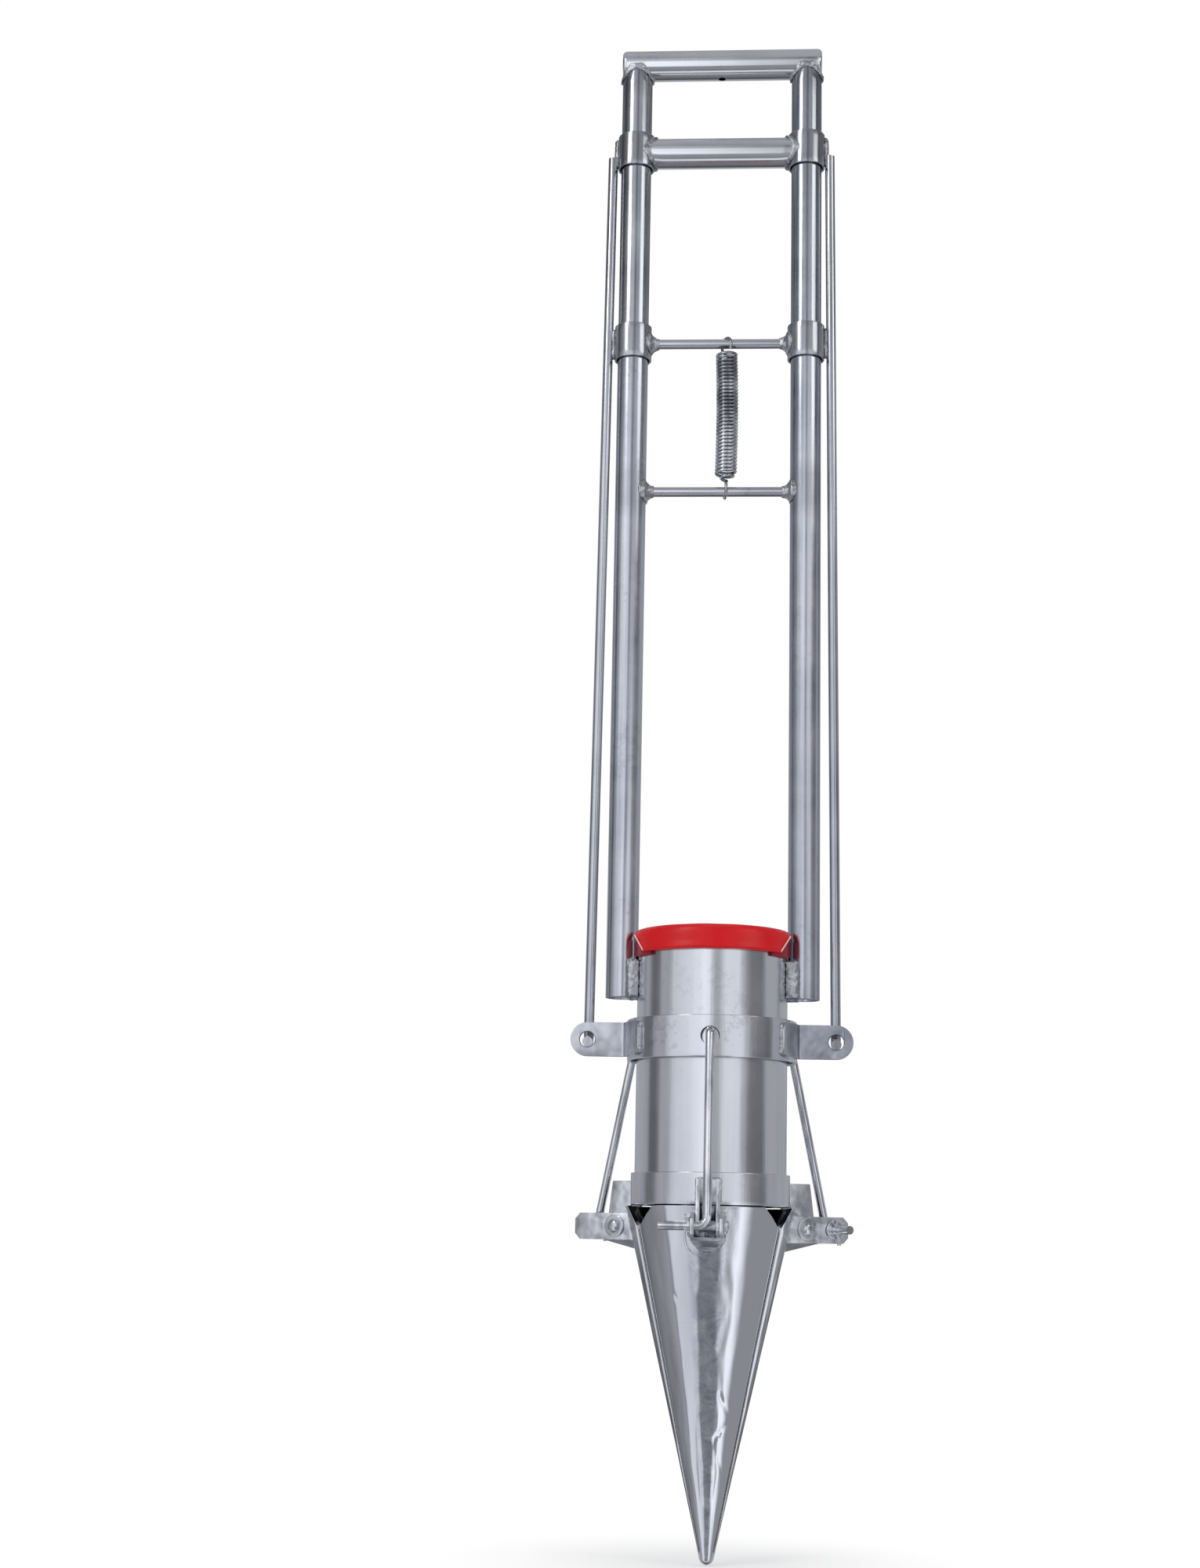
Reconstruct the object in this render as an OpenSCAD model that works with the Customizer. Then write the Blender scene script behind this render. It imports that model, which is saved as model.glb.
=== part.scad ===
// Long-handled bulb planter with three jaws that a squeeze of the hand bars opens.
// The origin is the tip of the closed jaws on the barrel's axis. Z is up and the front is -Y.
// The mechanism stands as at rest: slide down, spring hooked up, jaws closed.

/* [Frame] */
// Height from the closed jaw tip to the top of the handle bar
overall_h = 930; // [880:5:1050]
// Outer diameter of the frame tubing
tube_d = 19; // [16:0.5:22]
// Wall of the frame tubing
tube_wall = 1.2; // [1:0.1:2]
// Depth to which each upright laps the side of the barrel
upright_lap = 36.5; // [25:0.5:60]
// Edge radius of the closed ends of the handle bar
cap_edge_r = 2.5; // [1.5:0.1:4]
// Vent hole under the handle bar
vent_d = 4.5; // [3:0.1:6]

/* [Barrel] */
// Outer diameter of the barrel
barrel_d = 89; // [82:1:100]
// Wall of the barrel
barrel_wall = 1.5; // [1.2:0.1:2.5]
// Length of the barrel
barrel_h = 157.5; // [145:0.5:190]
// Wall of the band round the foot of the barrel
collar_wall = 2; // [1.5:0.1:3]
// Height of the band round the foot of the barrel
collar_h = 18.5; // [16:0.5:24]
// Height of the soft edging on the rim
trim_h = 14.5; // [12:0.5:18]
// Thickness of the edging inside and outside the rim
trim_leg = 4.5; // [3.5:0.1:5.5]
// Half the angle that the edging covers, from the front
trim_angle = 79; // [60:1:80]

/* [Slide] */
// Distance between the handle bar and the squeeze bar, centre to centre
squeeze_drop = 60.5; // [50:0.5:80]
// Distance between the squeeze bar and the spring pull rod
sleeve_pitch = 128; // [110:1:150]
// Distance between the spring pull rod and the spring anchor rod
spring_span = 96.5; // [80:0.5:120]
// Height of a sliding sleeve
sleeve_h = 22; // [18:0.5:30]
// Wall of a sliding sleeve
sleeve_wall = 1.2; // [1:0.1:2]
// Radial play of a sleeve on its upright
sleeve_play = 0.8; // [0.3:0.05:1]
// Diameter of the two cross rods that hold the spring
cross_rod_d = 6; // [5:0.5:8]
// Diameter of the long side rods
side_rod_d = 6; // [5:0.5:7]
// Travel of the slide
slide_travel = 10; // [6:0.5:12]

/* [Lift ring] */
// Radial gap between the barrel and the ring
ring_gap = 3.3; // [3:0.1:5]
// Wall of the ring
ring_wall = 2.2; // [1.5:0.1:3]
// Height of the ring
ring_h = 24; // [20:0.5:30]
// Hole in the ring for each link
ring_hole_d = 11; // [8:0.5:13]
// Thickness of the bent ears
ear_t = 2.4; // [2:0.1:3]
// Height of the bent ears
ear_h = 20; // [16:0.5:20]
// Distance from the ring to the centre of an ear's hole
ear_reach = 23; // [20:0.5:30]
// Hole in each ear for its side rod
ear_hole_d = 9; // [8:0.1:10]

/* [Jaws] */
// Height of the closed jaws
jaw_h = 199.3; // [180:0.5:220]
// Wall of the jaws, square to their face
jaw_wall = 1.85; // [1.5:0.05:2.2]
// Radius of the round nose that the closed jaws form
nose_r = 4.2; // [3.5:0.1:6]
// Width by which the jaws stand out past the band at their top
jaw_lip = 2.8; // [2:0.1:3.5]
// Gap between two closed jaws
jaw_gap = 0.8; // [0.6:0.05:1.5]
// Distance from the band's face out to the hinge
pivot_out = 14; // [13:0.5:18]
// Distance from the top of the jaws down to the hinge
pivot_drop = 10.8; // [9.5:0.1:13]
// Diameter of the hinge pins
pin_d = 6; // [5:0.5:7]
// Distance from the hinge out to the link's hook
hook_arm = 18.5; // [16:0.5:22]
// Outside width of a jaw lever
lever_w = 18; // [16.5:0.5:22]
// Thickness of a jaw lever
lever_t = 1.9; // [1.5:0.1:2.4]
// Thickness of a hinge bracket
bracket_t = 2.2; // [1.8:0.1:2.8]
// Diameter of the links
link_d = 5; // [4:0.5:5.5]

/* [Return spring] */
// Outer diameter of the return spring
spring_d = 13; // [11:0.5:15]
// Wire of the return spring
wire_d = 1.4; // [1:0.1:1.6]
// Height that one curl takes
curl_pitch = 1.95; // [1.9:0.05:3]
// Distance of the spring to the right of the barrel's axis
spring_x = 4.5; // [-10:0.5:10]

/* [Hidden] */
$fn = 96;

// Overrun of every cut
over = 3;
// Gap under a coped or welded joint that the weld closes
weld_gap = 0.15;
// Where the three jaw sets stand, as turns from the front
FRONT = 0;
RIGHT = 1;
LEFT = 2;

// Levels and radii of the barrel
jaw_top_gap = 1.2;
barrel_r = barrel_d / 2;
barrel_z = jaw_h + jaw_top_gap;
rim_z = barrel_z + barrel_h;
collar_r = barrel_r + collar_wall;

// Frame
tube_r = tube_d / 2;
upright_x = barrel_r + tube_r;
upright_z = rim_z - upright_lap;
bar_z = overall_h - tube_r;
bar_len = 2 * upright_x + tube_d;
cap_spigot = 5;
cap_fit = 0.05;

// Edging on the rim
trim_rise = 3;
trim_w = 2 * trim_leg + barrel_wall;
trim_r = barrel_r - barrel_wall / 2;
trim_low_z = rim_z + trim_rise - trim_h;
trim_low_angle = trim_angle - 24;
tongue_t = 2.2;
tongue_drop = 2;
tongue_angle = 30;
tongue_end = 1;
trim_fit = 0.05;

// Slide
squeeze_z = bar_z - squeeze_drop;
pull_z = squeeze_z - sleeve_pitch;
anchor_z = pull_z - spring_span;
sleeve_d = tube_d + 2 * (sleeve_play + sleeve_wall);
sleeve_r = sleeve_d / 2;

// Lift ring and its ears
stop_spare = 3.5;
ring_r = barrel_r + ring_gap + ring_wall;
ring_top = upright_z - slide_travel - stop_spare;
ring_mid = ring_top - ring_h / 2;
ear_front = 10.2;
ear_x = ring_r + ear_reach;
ear_flange_angle = 24;
ear_bend_lap = 1.5;
ear_play = 0.1;

// Side rods
side_seat = 0.2;
side_top_x = upright_x + sleeve_r + side_rod_d / 2 + side_seat;
side_top_z = squeeze_z - side_rod_d / 2;
side_foot_z = ring_mid - (ear_hole_d - side_rod_d) / 2 + ear_play;
side_bend = 4.5;
side_tail_out = 2.5;
side_tail = ear_front + ear_t / 2 + side_tail_out;
side_lean = atan((ear_x - side_top_x) / (side_top_z - side_foot_z));
side_len = norm([ear_x - side_top_x, side_top_z - side_foot_z]);

// Weld beads
bead_w = 2.2;
bead_h = 1.2;
flare_len = 5;
flare_r = 8.5;
flare_lip = 0.5;
flare_step = 18;
flare_turn = 72;
lap_bead_r = 4.5;
lap_bead_h = 22;
lap_bead_in = 7;
lap_bead_x = upright_x - lap_bead_in;
lap_bead_y = 8.5;
side_bead_r = 2.4;
side_bead_h = 15;

// Jaw cone: a line from the lip to the round nose
jaw_top_r = collar_r + jaw_lip;
nose_to_lip = norm([jaw_top_r, jaw_h - nose_r]);
cone_angle = atan(jaw_top_r / (jaw_h - nose_r)) - asin(nose_r / nose_to_lip);
nose_steps = 6;
hollow_share = 1.7;
hollow_z = hollow_share * nose_r;
corner_h = 10.8;
corner_w = 7.1;
corner_mid_share = [0.5, 0.65];
function cone_r(z) = jaw_top_r - (jaw_h - z) * tan(cone_angle);
function inner_r(z) = cone_r(z) - jaw_wall / cos(cone_angle);

// Hinge
side_play = 0.3;
pin_play = 0.08;
pin_fit = 0.03;
pivot_r = collar_r + pivot_out;
pivot_z = jaw_h - pivot_drop;
boss_r = 7.5;
boss_play = 0.4;
bracket_w = lever_w - 2 * (lever_t + side_play);
bracket_foot = 1;
bracket_h = 13.5;
bracket_reach = 17.5;
lip_play = 1.5;
cheek_share = 0.95;
washer_d = 13;
washer_t = 1.2;
head_d = 8;
head_t = 2;

// Jaw lever
lever_rise = 7.5;
lever_drop = 8;
lever_end = 28.5;
lever_corner = 3.5;
web_knee = 8.5;
foot_drop = 14.5;
foot_w = 6;
foot_slot_share = 0.5;
foot_slot_w = foot_w * foot_slot_share;
hook_play = 0.9;
hook_r = pivot_r + hook_arm;

// Link: lower hook in the lever, upper hook in the ring
link_seat = 0.2;
link_top_z = ring_mid + ring_hole_d / 2 - link_seat - link_d / 2;
link_top_out = 3.3;
link_top_r = ring_r + link_top_out;
link_lean = atan((hook_r - link_top_r) / (link_top_z - pivot_z));
link_len = norm([hook_r - link_top_r, link_top_z - pivot_z]);
low_bend = 5;
top_bend = 4;
top_turn = 90 - link_lean;
top_trim = top_bend * tan(top_turn / 2);
link_tail = 27;
tail_gap = 1.2;
hook_fit = 0.02;
hook_lap = 0.2;
link_tail_end = link_top_r - barrel_r - tail_gap;
link_washer_d = 11;
hook_slack = 0.5;
split_d = 1.6;
split_play = 0.1;
split_x = lever_w / 2 + 2 * hook_slack + washer_t + split_d / 2;
eye_r = 1.6;
leg_len = 7;
leg_splay = 28;

// Return spring: the wire's centre line, from the foot's free end to the head's
rings_per_curl = 8;
rings_per_loop = 24;
wire_sides = 6;
coil_r = (spring_d - wire_d) / 2;
loop_share = 0.9;
loop_r = coil_r * loop_share;
loop_sweep = 215;
hook_seat = 0.3;
head_loop_z = pull_z + cross_rod_d / 2 + hook_seat + wire_d / 2 - loop_r;
foot_loop_z = anchor_z - cross_rod_d / 2 - hook_seat - wire_d / 2 + loop_r;
head_shank = 5.5;
foot_shank = 10.5;
coil_top = head_loop_z - head_shank;
coil_foot = foot_loop_z + foot_shank;
entry_angle = 30;
curls = floor((coil_top - coil_foot) / curl_pitch) - 2 * entry_angle / 360;
coil_rings = round(curls * rings_per_curl);
entry_rings = 6;
entry_pull = 2.4;
shank_pull_share = 0.6;

function bezier(a, b, c, d, t) =
    a * pow(1 - t, 3) + 3 * b * t * pow(1 - t, 2) + 3 * c * t * t * (1 - t) + d * pow(t, 3);

function coil_point(t) =
    let (turn = 90 + entry_angle + t * curls * 360)
    [coil_r * cos(turn), coil_r * sin(turn), coil_foot + t * (coil_top - coil_foot)];

// Wire from the end of the coil up into the loop over a cross rod, for the head
function head_wire(loop_z, shank) =
    let (
        leave = 90 - entry_angle,
        start = [coil_r * cos(leave), coil_r * sin(leave), loop_z - shank],
        ahead = start + entry_pull * [-sin(leave), cos(leave), 0],
        stop = [0, loop_r, loop_z],
        below = stop - [0, 0, shank * shank_pull_share],
        last = loop_sweep,
        tip = [0, loop_r * cos(last), loop_z + loop_r * sin(last)]
    )
    concat(
        [for (i = [1 : entry_rings]) bezier(start, ahead, below, stop, i / entry_rings)],
        [for (a = [360 / rings_per_loop : 360 / rings_per_loop : last - 1])
            [0, loop_r * cos(a), loop_z + loop_r * sin(a)]],
        [tip, tip + wire_d * [0, -sin(last), cos(last)]]
    );

// The foot is the head turned over
function turned_over(points, level) =
    [for (i = [len(points) - 1 : -1 : 0]) [-points[i].x, points[i].y, 2 * level - points[i].z]];

spring_wire = concat(
    turned_over(head_wire(foot_loop_z, foot_shank), foot_loop_z),
    [for (i = [0 : coil_rings]) coil_point(i / coil_rings)],
    head_wire(head_loop_z, head_shank)
);

function unit(v) = v / norm(v);
function heading(path, i) = unit(path[min(i + 1, len(path) - 1)] - path[max(i - 1, 0)]);
function squared(n, t) = unit(n - t * (n * t));

// Rings of points round a path, carried along it without a twist
function wire_rings(path, r) =
    let (
        last = len(path) - 1,
        headings = [for (i = [0 : last]) heading(path, i)],
        normals = [
            for (i = 0, n = squared([1, 0, 0], headings[0]);
                 i <= last;
                 i = i + 1, n = i <= last ? squared(n, headings[i]) : n)
            n
        ]
    )
    [for (i = [0 : last])
        for (k = [0 : wire_sides - 1])
        let (a = 360 * k / wire_sides)
        path[i] + r * (cos(a) * normals[i] + sin(a) * cross(headings[i], normals[i]))];

function wire_faces(count) =
    concat(
        [for (k = [1 : wire_sides - 2]) [0, k, k + 1]],
        [for (i = [0 : count - 2])
            for (k = [0 : wire_sides - 1])
            let (a = i * wire_sides + k, b = i * wire_sides + (k + 1) % wire_sides)
            each [[a, a + wire_sides, b + wire_sides], [a, b + wire_sides, b]]],
        let (base = (count - 1) * wire_sides)
        [for (k = [1 : wire_sides - 2]) [base, base + k + 1, base + k]]
    );

// The least gap between points of the wire that are not close neighbours along it
near_rings = 5;
wire_gap = min([
    for (i = [0 : len(spring_wire) - 1])
        for (j = [i + near_rings : 1 : len(spring_wire) - 1])
        norm(spring_wire[i] - spring_wire[j])
]) - wire_d;
echo(str("least gap of the return spring to itself: ", wire_gap, " mm"));

module pipe(d, wall, h) {
    difference() {
        cylinder(d = d, h = h);
        translate([0, 0, -over]) cylinder(d = d - 2 * wall, h = h + 2 * over);
    }
}

// A round bar along X, centred on the tool
module bar_across(d, len, z) {
    translate([-len / 2, 0, z]) rotate([0, 90, 0]) cylinder(d = d, h = len);
}

// Both uprights as solid posts of another diameter, between two levels
module posts(d, low, high) {
    for (side = [-1, 1]) {
        translate([side * upright_x, 0, low]) cylinder(d = d, h = high - low);
    }
}

// A bend that starts at the origin along +Z and turns towards +Y
module elbow(d, bend, turn) {
    translate([0, bend, 0])
        rotate([90, 0, -90])
        rotate_extrude(angle = turn)
        translate([bend, 0]) circle(d = d);
}

// The front set turned to its place
module at_set(set) {
    rotate([0, 0, 120 * set]) children();
}

// A plate drawn from the side, with the distance from the axis across and the height up
module side_plate(w) {
    rotate([90, 0, -90]) linear_extrude(w, center = true) children();
}

// A round hole along X through the front set
module side_hole(d, r, z, w) {
    translate([-w / 2, -r, z]) rotate([0, 90, 0]) cylinder(d = d, h = w);
}

module top_handle_bar() {
    run = bar_len - 2 * cap_edge_r;
    color("silver")
    difference() {
        translate([-run / 2, 0, bar_z]) rotate([0, 90, 0]) pipe(tube_d, tube_wall, run);
        translate([0, 0, bar_z - tube_d]) cylinder(d = vent_d, h = tube_d);
    }
}

module end_cap() {
    rotate_extrude() {
        translate([0, -cap_spigot]) square([tube_r - tube_wall - cap_fit, cap_spigot]);
        square([tube_r - cap_edge_r, cap_edge_r]);
        intersection() {
            translate([tube_r - cap_edge_r, 0]) circle(r = cap_edge_r);
            square([tube_r, cap_edge_r]);
        }
    }
}

module handle_end_caps() {
    color("silver")
    for (side = [-1, 1]) {
        translate([side * (bar_len / 2 - cap_edge_r), 0, bar_z]) rotate([0, side * 90, 0]) end_cap();
    }
}

// One upright: its top is coped under the handle bar and its foot is open
module upright(side) {
    color("silver")
    difference() {
        translate([side * upright_x, 0, upright_z]) pipe(tube_d, tube_wall, bar_z - upright_z);
        bar_across(tube_d + 2 * weld_gap, 2 * bar_len, bar_z);
    }
}

module barrel() {
    color("lightgray")
    translate([0, 0, barrel_z]) pipe(barrel_d, barrel_wall, barrel_h);
}

module lower_collar() {
    color("darkgray")
    translate([0, 0, barrel_z]) pipe(2 * collar_r, collar_wall, collar_h);
}

module trim_section() {
    difference() {
        union() {
            translate([trim_r - trim_w / 2, trim_low_z]) square([trim_w, trim_h - trim_w / 2]);
            translate([trim_r, rim_z + trim_rise - trim_w / 2]) circle(d = trim_w);
        }
        translate([trim_r - barrel_wall / 2 - trim_fit, trim_low_z - over])
            square([barrel_wall + 2 * trim_fit, rim_z - trim_low_z + over]);
    }
}

// Split edging over the front of the rim. Its ends are cut aslant and a thin tongue shows below the cut.
module rim_trim() {
    out_r = trim_r + trim_w / 2;
    color("firebrick") {
        difference() {
            rotate([0, 0, -90 - trim_angle]) rotate_extrude(angle = 2 * trim_angle) trim_section();
            for (side = [0, 1]) {
                mirror([side, 0, 0])
                    rotate([90, 0, 0])
                    linear_extrude(2 * out_r)
                    polygon([
                        [out_r * sin(trim_low_angle), trim_low_z - over],
                        [out_r * sin(trim_low_angle), trim_low_z],
                        [out_r * sin(trim_angle), rim_z + trim_rise],
                        [2 * out_r, rim_z + trim_rise],
                        [2 * out_r, trim_low_z - over]
                    ]);
            }
        }
        for (side = [0, 1]) {
            mirror([side, 0, 0])
                rotate([0, 0, -90 + trim_angle + tongue_end - tongue_angle])
                rotate_extrude(angle = tongue_angle)
                translate([barrel_r + 2 * trim_fit, trim_low_z - tongue_drop])
                square([tongue_t, rim_z - trim_low_z]);
        }
    }
}

module cross_rod(z, post_d) {
    color("silver")
    difference() {
        bar_across(cross_rod_d, 2 * upright_x, z);
        posts(post_d, z - cross_rod_d, z + cross_rod_d);
    }
}

// A hollow-cheeked weld round each end of a cross rod, where it meets a post
module rod_flares(z, post_d) {
    difference() {
        for (side = [-1, 1]) {
            translate([side * (upright_x - post_d / 2), 0, z])
                rotate([0, side * 90, 0])
                rotate_extrude()
                polygon(concat(
                    [[cross_rod_d / 2, -flare_len]],
                    [for (a = [0 : flare_step : flare_turn])
                        [cross_rod_d / 2 + flare_lip + flare_len * (1 - cos(a)), flare_len * (sin(a) - 1)]],
                    [[flare_r, flare_lip], [flare_r, post_d / 2], [cross_rod_d / 2, post_d / 2]]
                ));
        }
        posts(post_d, z - flare_r - over, z + flare_r + over);
    }
}

// A saddle of weld where a bar across meets the posts
module saddle_beads(z, bar_d, post_d, low, high) {
    difference() {
        intersection() {
            bar_across(bar_d + 2 * bead_w, 2 * bar_len, z);
            posts(post_d + 2 * bead_h, low, high);
        }
        bar_across(bar_d, 2 * bar_len + over, z);
        posts(post_d, low - over, high + over);
    }
}

// Weld that fills the valley between the barrel and each upright
module lap_beads() {
    difference() {
        for (sx = [-1, 1]) {
            for (sy = [-1, 1]) {
                translate([sx * lap_bead_x, sy * lap_bead_y, upright_z]) cylinder(r = lap_bead_r, h = lap_bead_h);
            }
        }
        translate([0, 0, upright_z - over]) cylinder(d = barrel_d, h = lap_bead_h + 2 * over);
        posts(tube_d, upright_z - over, upright_z + lap_bead_h + over);
    }
}

module frame_weld_beads() {
    color("dimgray") {
        saddle_beads(bar_z, tube_d, tube_d, bar_z - tube_d, bar_z - bead_w);
        lap_beads();
        rod_flares(anchor_z, tube_d);
    }
}

module spring_anchor_rod() {
    cross_rod(anchor_z, tube_d);
}

module squeeze_bar() {
    color("silver")
    difference() {
        translate([-upright_x, 0, squeeze_z]) rotate([0, 90, 0]) pipe(tube_d, tube_wall, 2 * upright_x);
        posts(sleeve_d, squeeze_z - sleeve_h / 2, squeeze_z + sleeve_h / 2);
    }
}

module sleeve(side, z) {
    color("gainsboro")
    translate([side * upright_x, 0, z - sleeve_h / 2]) pipe(sleeve_d, sleeve_wall, sleeve_h);
}

module spring_pull_rod() {
    cross_rod(pull_z, sleeve_d);
}

// The right side rod: it leans out to the ear and its foot bends forward through the ear's hole
module side_rod() {
    color("silver")
    translate([ear_x, 0, side_foot_z])
    rotate([0, -side_lean, 0]) {
        translate([0, 0, side_bend]) cylinder(d = side_rod_d, h = side_len - side_bend);
        translate([0, 0, side_bend]) mirror([0, 0, 1]) rotate([0, 0, 180]) elbow(side_rod_d, side_bend, 90);
        translate([0, -side_bend, 0]) rotate([90, 0, 0]) cylinder(d = side_rod_d, h = side_tail - side_bend);
    }
}

// A round-ended weld between the right sleeve and its side rod
module side_bead(z) {
    x = (upright_x + sleeve_r + side_x(z) - side_rod_d / 2) / 2;
    difference() {
        translate([x, 0, z]) {
            translate([0, 0, -side_bead_h / 2]) cylinder(r = side_bead_r, h = side_bead_h);
            translate([0, 0, side_bead_h / 2]) sphere(r = side_bead_r);
            translate([0, 0, -side_bead_h / 2]) sphere(r = side_bead_r);
        }
        posts(sleeve_d, z - sleeve_h, z + sleeve_h);
        side_rod();
    }
}

function side_x(z) = ear_x - (z - side_foot_z) * tan(side_lean);

module slide_weld_beads() {
    color("dimgray") {
        saddle_beads_on_bar(squeeze_z);
        rod_flares(pull_z, sleeve_d);
        for (side = [0, 1]) {
            mirror([side, 0, 0]) {
                side_bead(squeeze_z);
                side_bead(pull_z);
            }
        }
    }
}

// The squeeze bar's weld runs round the bar on each sleeve's inner side
module saddle_beads_on_bar(z) {
    difference() {
        intersection() {
            bar_across(tube_d + 2 * bead_h, 2 * upright_x, z);
            posts(sleeve_d + 2 * bead_w, z - sleeve_h / 2, z + sleeve_h / 2);
        }
        bar_across(tube_d, 2 * bar_len, z);
        posts(sleeve_d, z - sleeve_h, z + sleeve_h);
    }
}

// Band round the barrel, with a hole for each link's upper hook
module lift_ring() {
    color("silver")
    difference() {
        translate([0, 0, ring_top - ring_h]) pipe(2 * ring_r, ring_wall, ring_h);
        for (set = [FRONT, RIGHT, LEFT]) {
            at_set(set) translate([0, 0, ring_mid]) rotate([90, 0, 0]) cylinder(d = ring_hole_d, h = 2 * ring_r);
        }
    }
}

// The right ear: a plate in front of the side rod, bent round to lie on the ring
module ring_ear() {
    face_y = ear_front + ear_t / 2;
    bend_angle = acos(face_y / (ring_r + ear_t));
    color("silver")
    difference() {
        union() {
            translate([0, -ear_front + ear_t / 2, ring_mid])
                rotate([90, 0, 0])
                linear_extrude(ear_t)
                difference() {
                    union() {
                        translate([ring_r - ear_t, -ear_h / 2]) square([ear_reach + ear_t, ear_h]);
                        translate([ear_x, 0]) circle(d = ear_h);
                    }
                    translate([ear_x, 0]) circle(d = ear_hole_d);
                }
            rotate([0, 0, bend_angle + ear_bend_lap - ear_flange_angle - 90])
                rotate_extrude(angle = ear_flange_angle)
                translate([ring_r - ear_t, ring_mid - ear_h / 2]) square([2 * ear_t, ear_h]);
        }
        translate([0, 0, ring_mid - ear_h]) cylinder(r = ring_r, h = 2 * ear_h);
    }
}

module return_spring() {
    color("gray")
    translate([spring_x, 0, 0])
    polyhedron(points = wire_rings(spring_wire, wire_d / 2), faces = wire_faces(len(spring_wire)));
}

// Folded fork: two cheeks and a back that lies on the collar
module hinge_bracket(set) {
    foot_z = barrel_z + bracket_foot;
    top_z = foot_z + bracket_h;
    color("silver")
    at_set(set)
    difference() {
        union() {
            side_plate(bracket_w)
                polygon([
                    [collar_r - over, foot_z],
                    [collar_r - over, top_z],
                    [collar_r + bracket_reach, top_z],
                    [pivot_r + cheek_share * boss_r, pivot_z],
                    [pivot_r - cheek_share * boss_r, pivot_z],
                    [jaw_top_r + lip_play, foot_z]
                ]);
            side_hole(2 * boss_r, pivot_r, pivot_z, bracket_w);
        }
        side_plate(bracket_w - 2 * bracket_t)
            translate([collar_r + bracket_t, pivot_z - 2 * boss_r])
            square([2 * pivot_out, top_z - pivot_z + 3 * boss_r]);
        translate([0, 0, barrel_z - over]) cylinder(r = collar_r, h = collar_h + 2 * over);
        side_hole(pin_d + 2 * pin_fit, pivot_r, pivot_z, lever_w);
    }
}

// Pin with a flat round head at each end, outside the washers
module hinge_pin(set) {
    shank = lever_w + 2 * (side_play + washer_t);
    color("gainsboro")
    at_set(set) {
        side_hole(pin_d, pivot_r, pivot_z, shank + head_t);
        for (side = [-1, 1]) {
            translate([side * (shank + head_t) / 2, 0, 0]) side_hole(head_d, pivot_r, pivot_z, head_t);
        }
    }
}

module hinge_washers() {
    color("gainsboro")
    for (set = [FRONT, RIGHT, LEFT]) {
        for (side = [-1, 1]) {
            at_set(set)
                translate([side * (lever_w + washer_t + 2 * side_play) / 2, 0, 0])
                difference() {
                    side_hole(washer_d, pivot_r, pivot_z, washer_t);
                    side_hole(pin_d + 2 * pin_fit, pivot_r, pivot_z, washer_t + 2 * over);
                }
        }
    }
}

// Half of the closed jaws' outline: a straight cone on a round nose
module cone_outline() {
    turn = (90 - cone_angle) / nose_steps;
    polygon(concat(
        [for (i = [0 : nose_steps]) [nose_r * sin(i * turn), nose_r - nose_r * cos(i * turn)]],
        [[jaw_top_r, jaw_h], [0, jaw_h]]
    ));
}

// One third of the cone, with its upper corners cut back
module jaw(set) {
    reach = 2 * jaw_top_r;
    apex = jaw_gap / 2 / sin(60);
    corner_z = jaw_h - corner_h;
    corner_x = cone_r(corner_z) * sin(60);
    color("silver")
    at_set(set)
    difference() {
        intersection() {
            rotate_extrude()
                difference() {
                    cone_outline();
                    polygon([
                        [0, hollow_z],
                        [inner_r(hollow_z), hollow_z],
                        [inner_r(jaw_h + over), jaw_h + over],
                        [0, jaw_h + over]
                    ]);
                }
            translate([0, 0, -over])
                linear_extrude(jaw_h + 2 * over)
                polygon([
                    [0, -apex],
                    [reach * sin(60), -apex - reach * cos(60)],
                    [0, -2 * reach],
                    [-reach * sin(60), -apex - reach * cos(60)]
                ]);
        }
        for (side = [0, 1]) {
            mirror([side, 0, 0])
                rotate([90, 0, 0])
                linear_extrude(reach)
                polygon([
                    [corner_x, corner_z],
                    [corner_x - corner_w * corner_mid_share.x, corner_z + corner_h * corner_mid_share.y],
                    [corner_x - corner_w, jaw_h],
                    [corner_x - corner_w, jaw_h + over],
                    [reach, jaw_h + over],
                    [reach, corner_z]
                ]);
        }
    }
}

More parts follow.
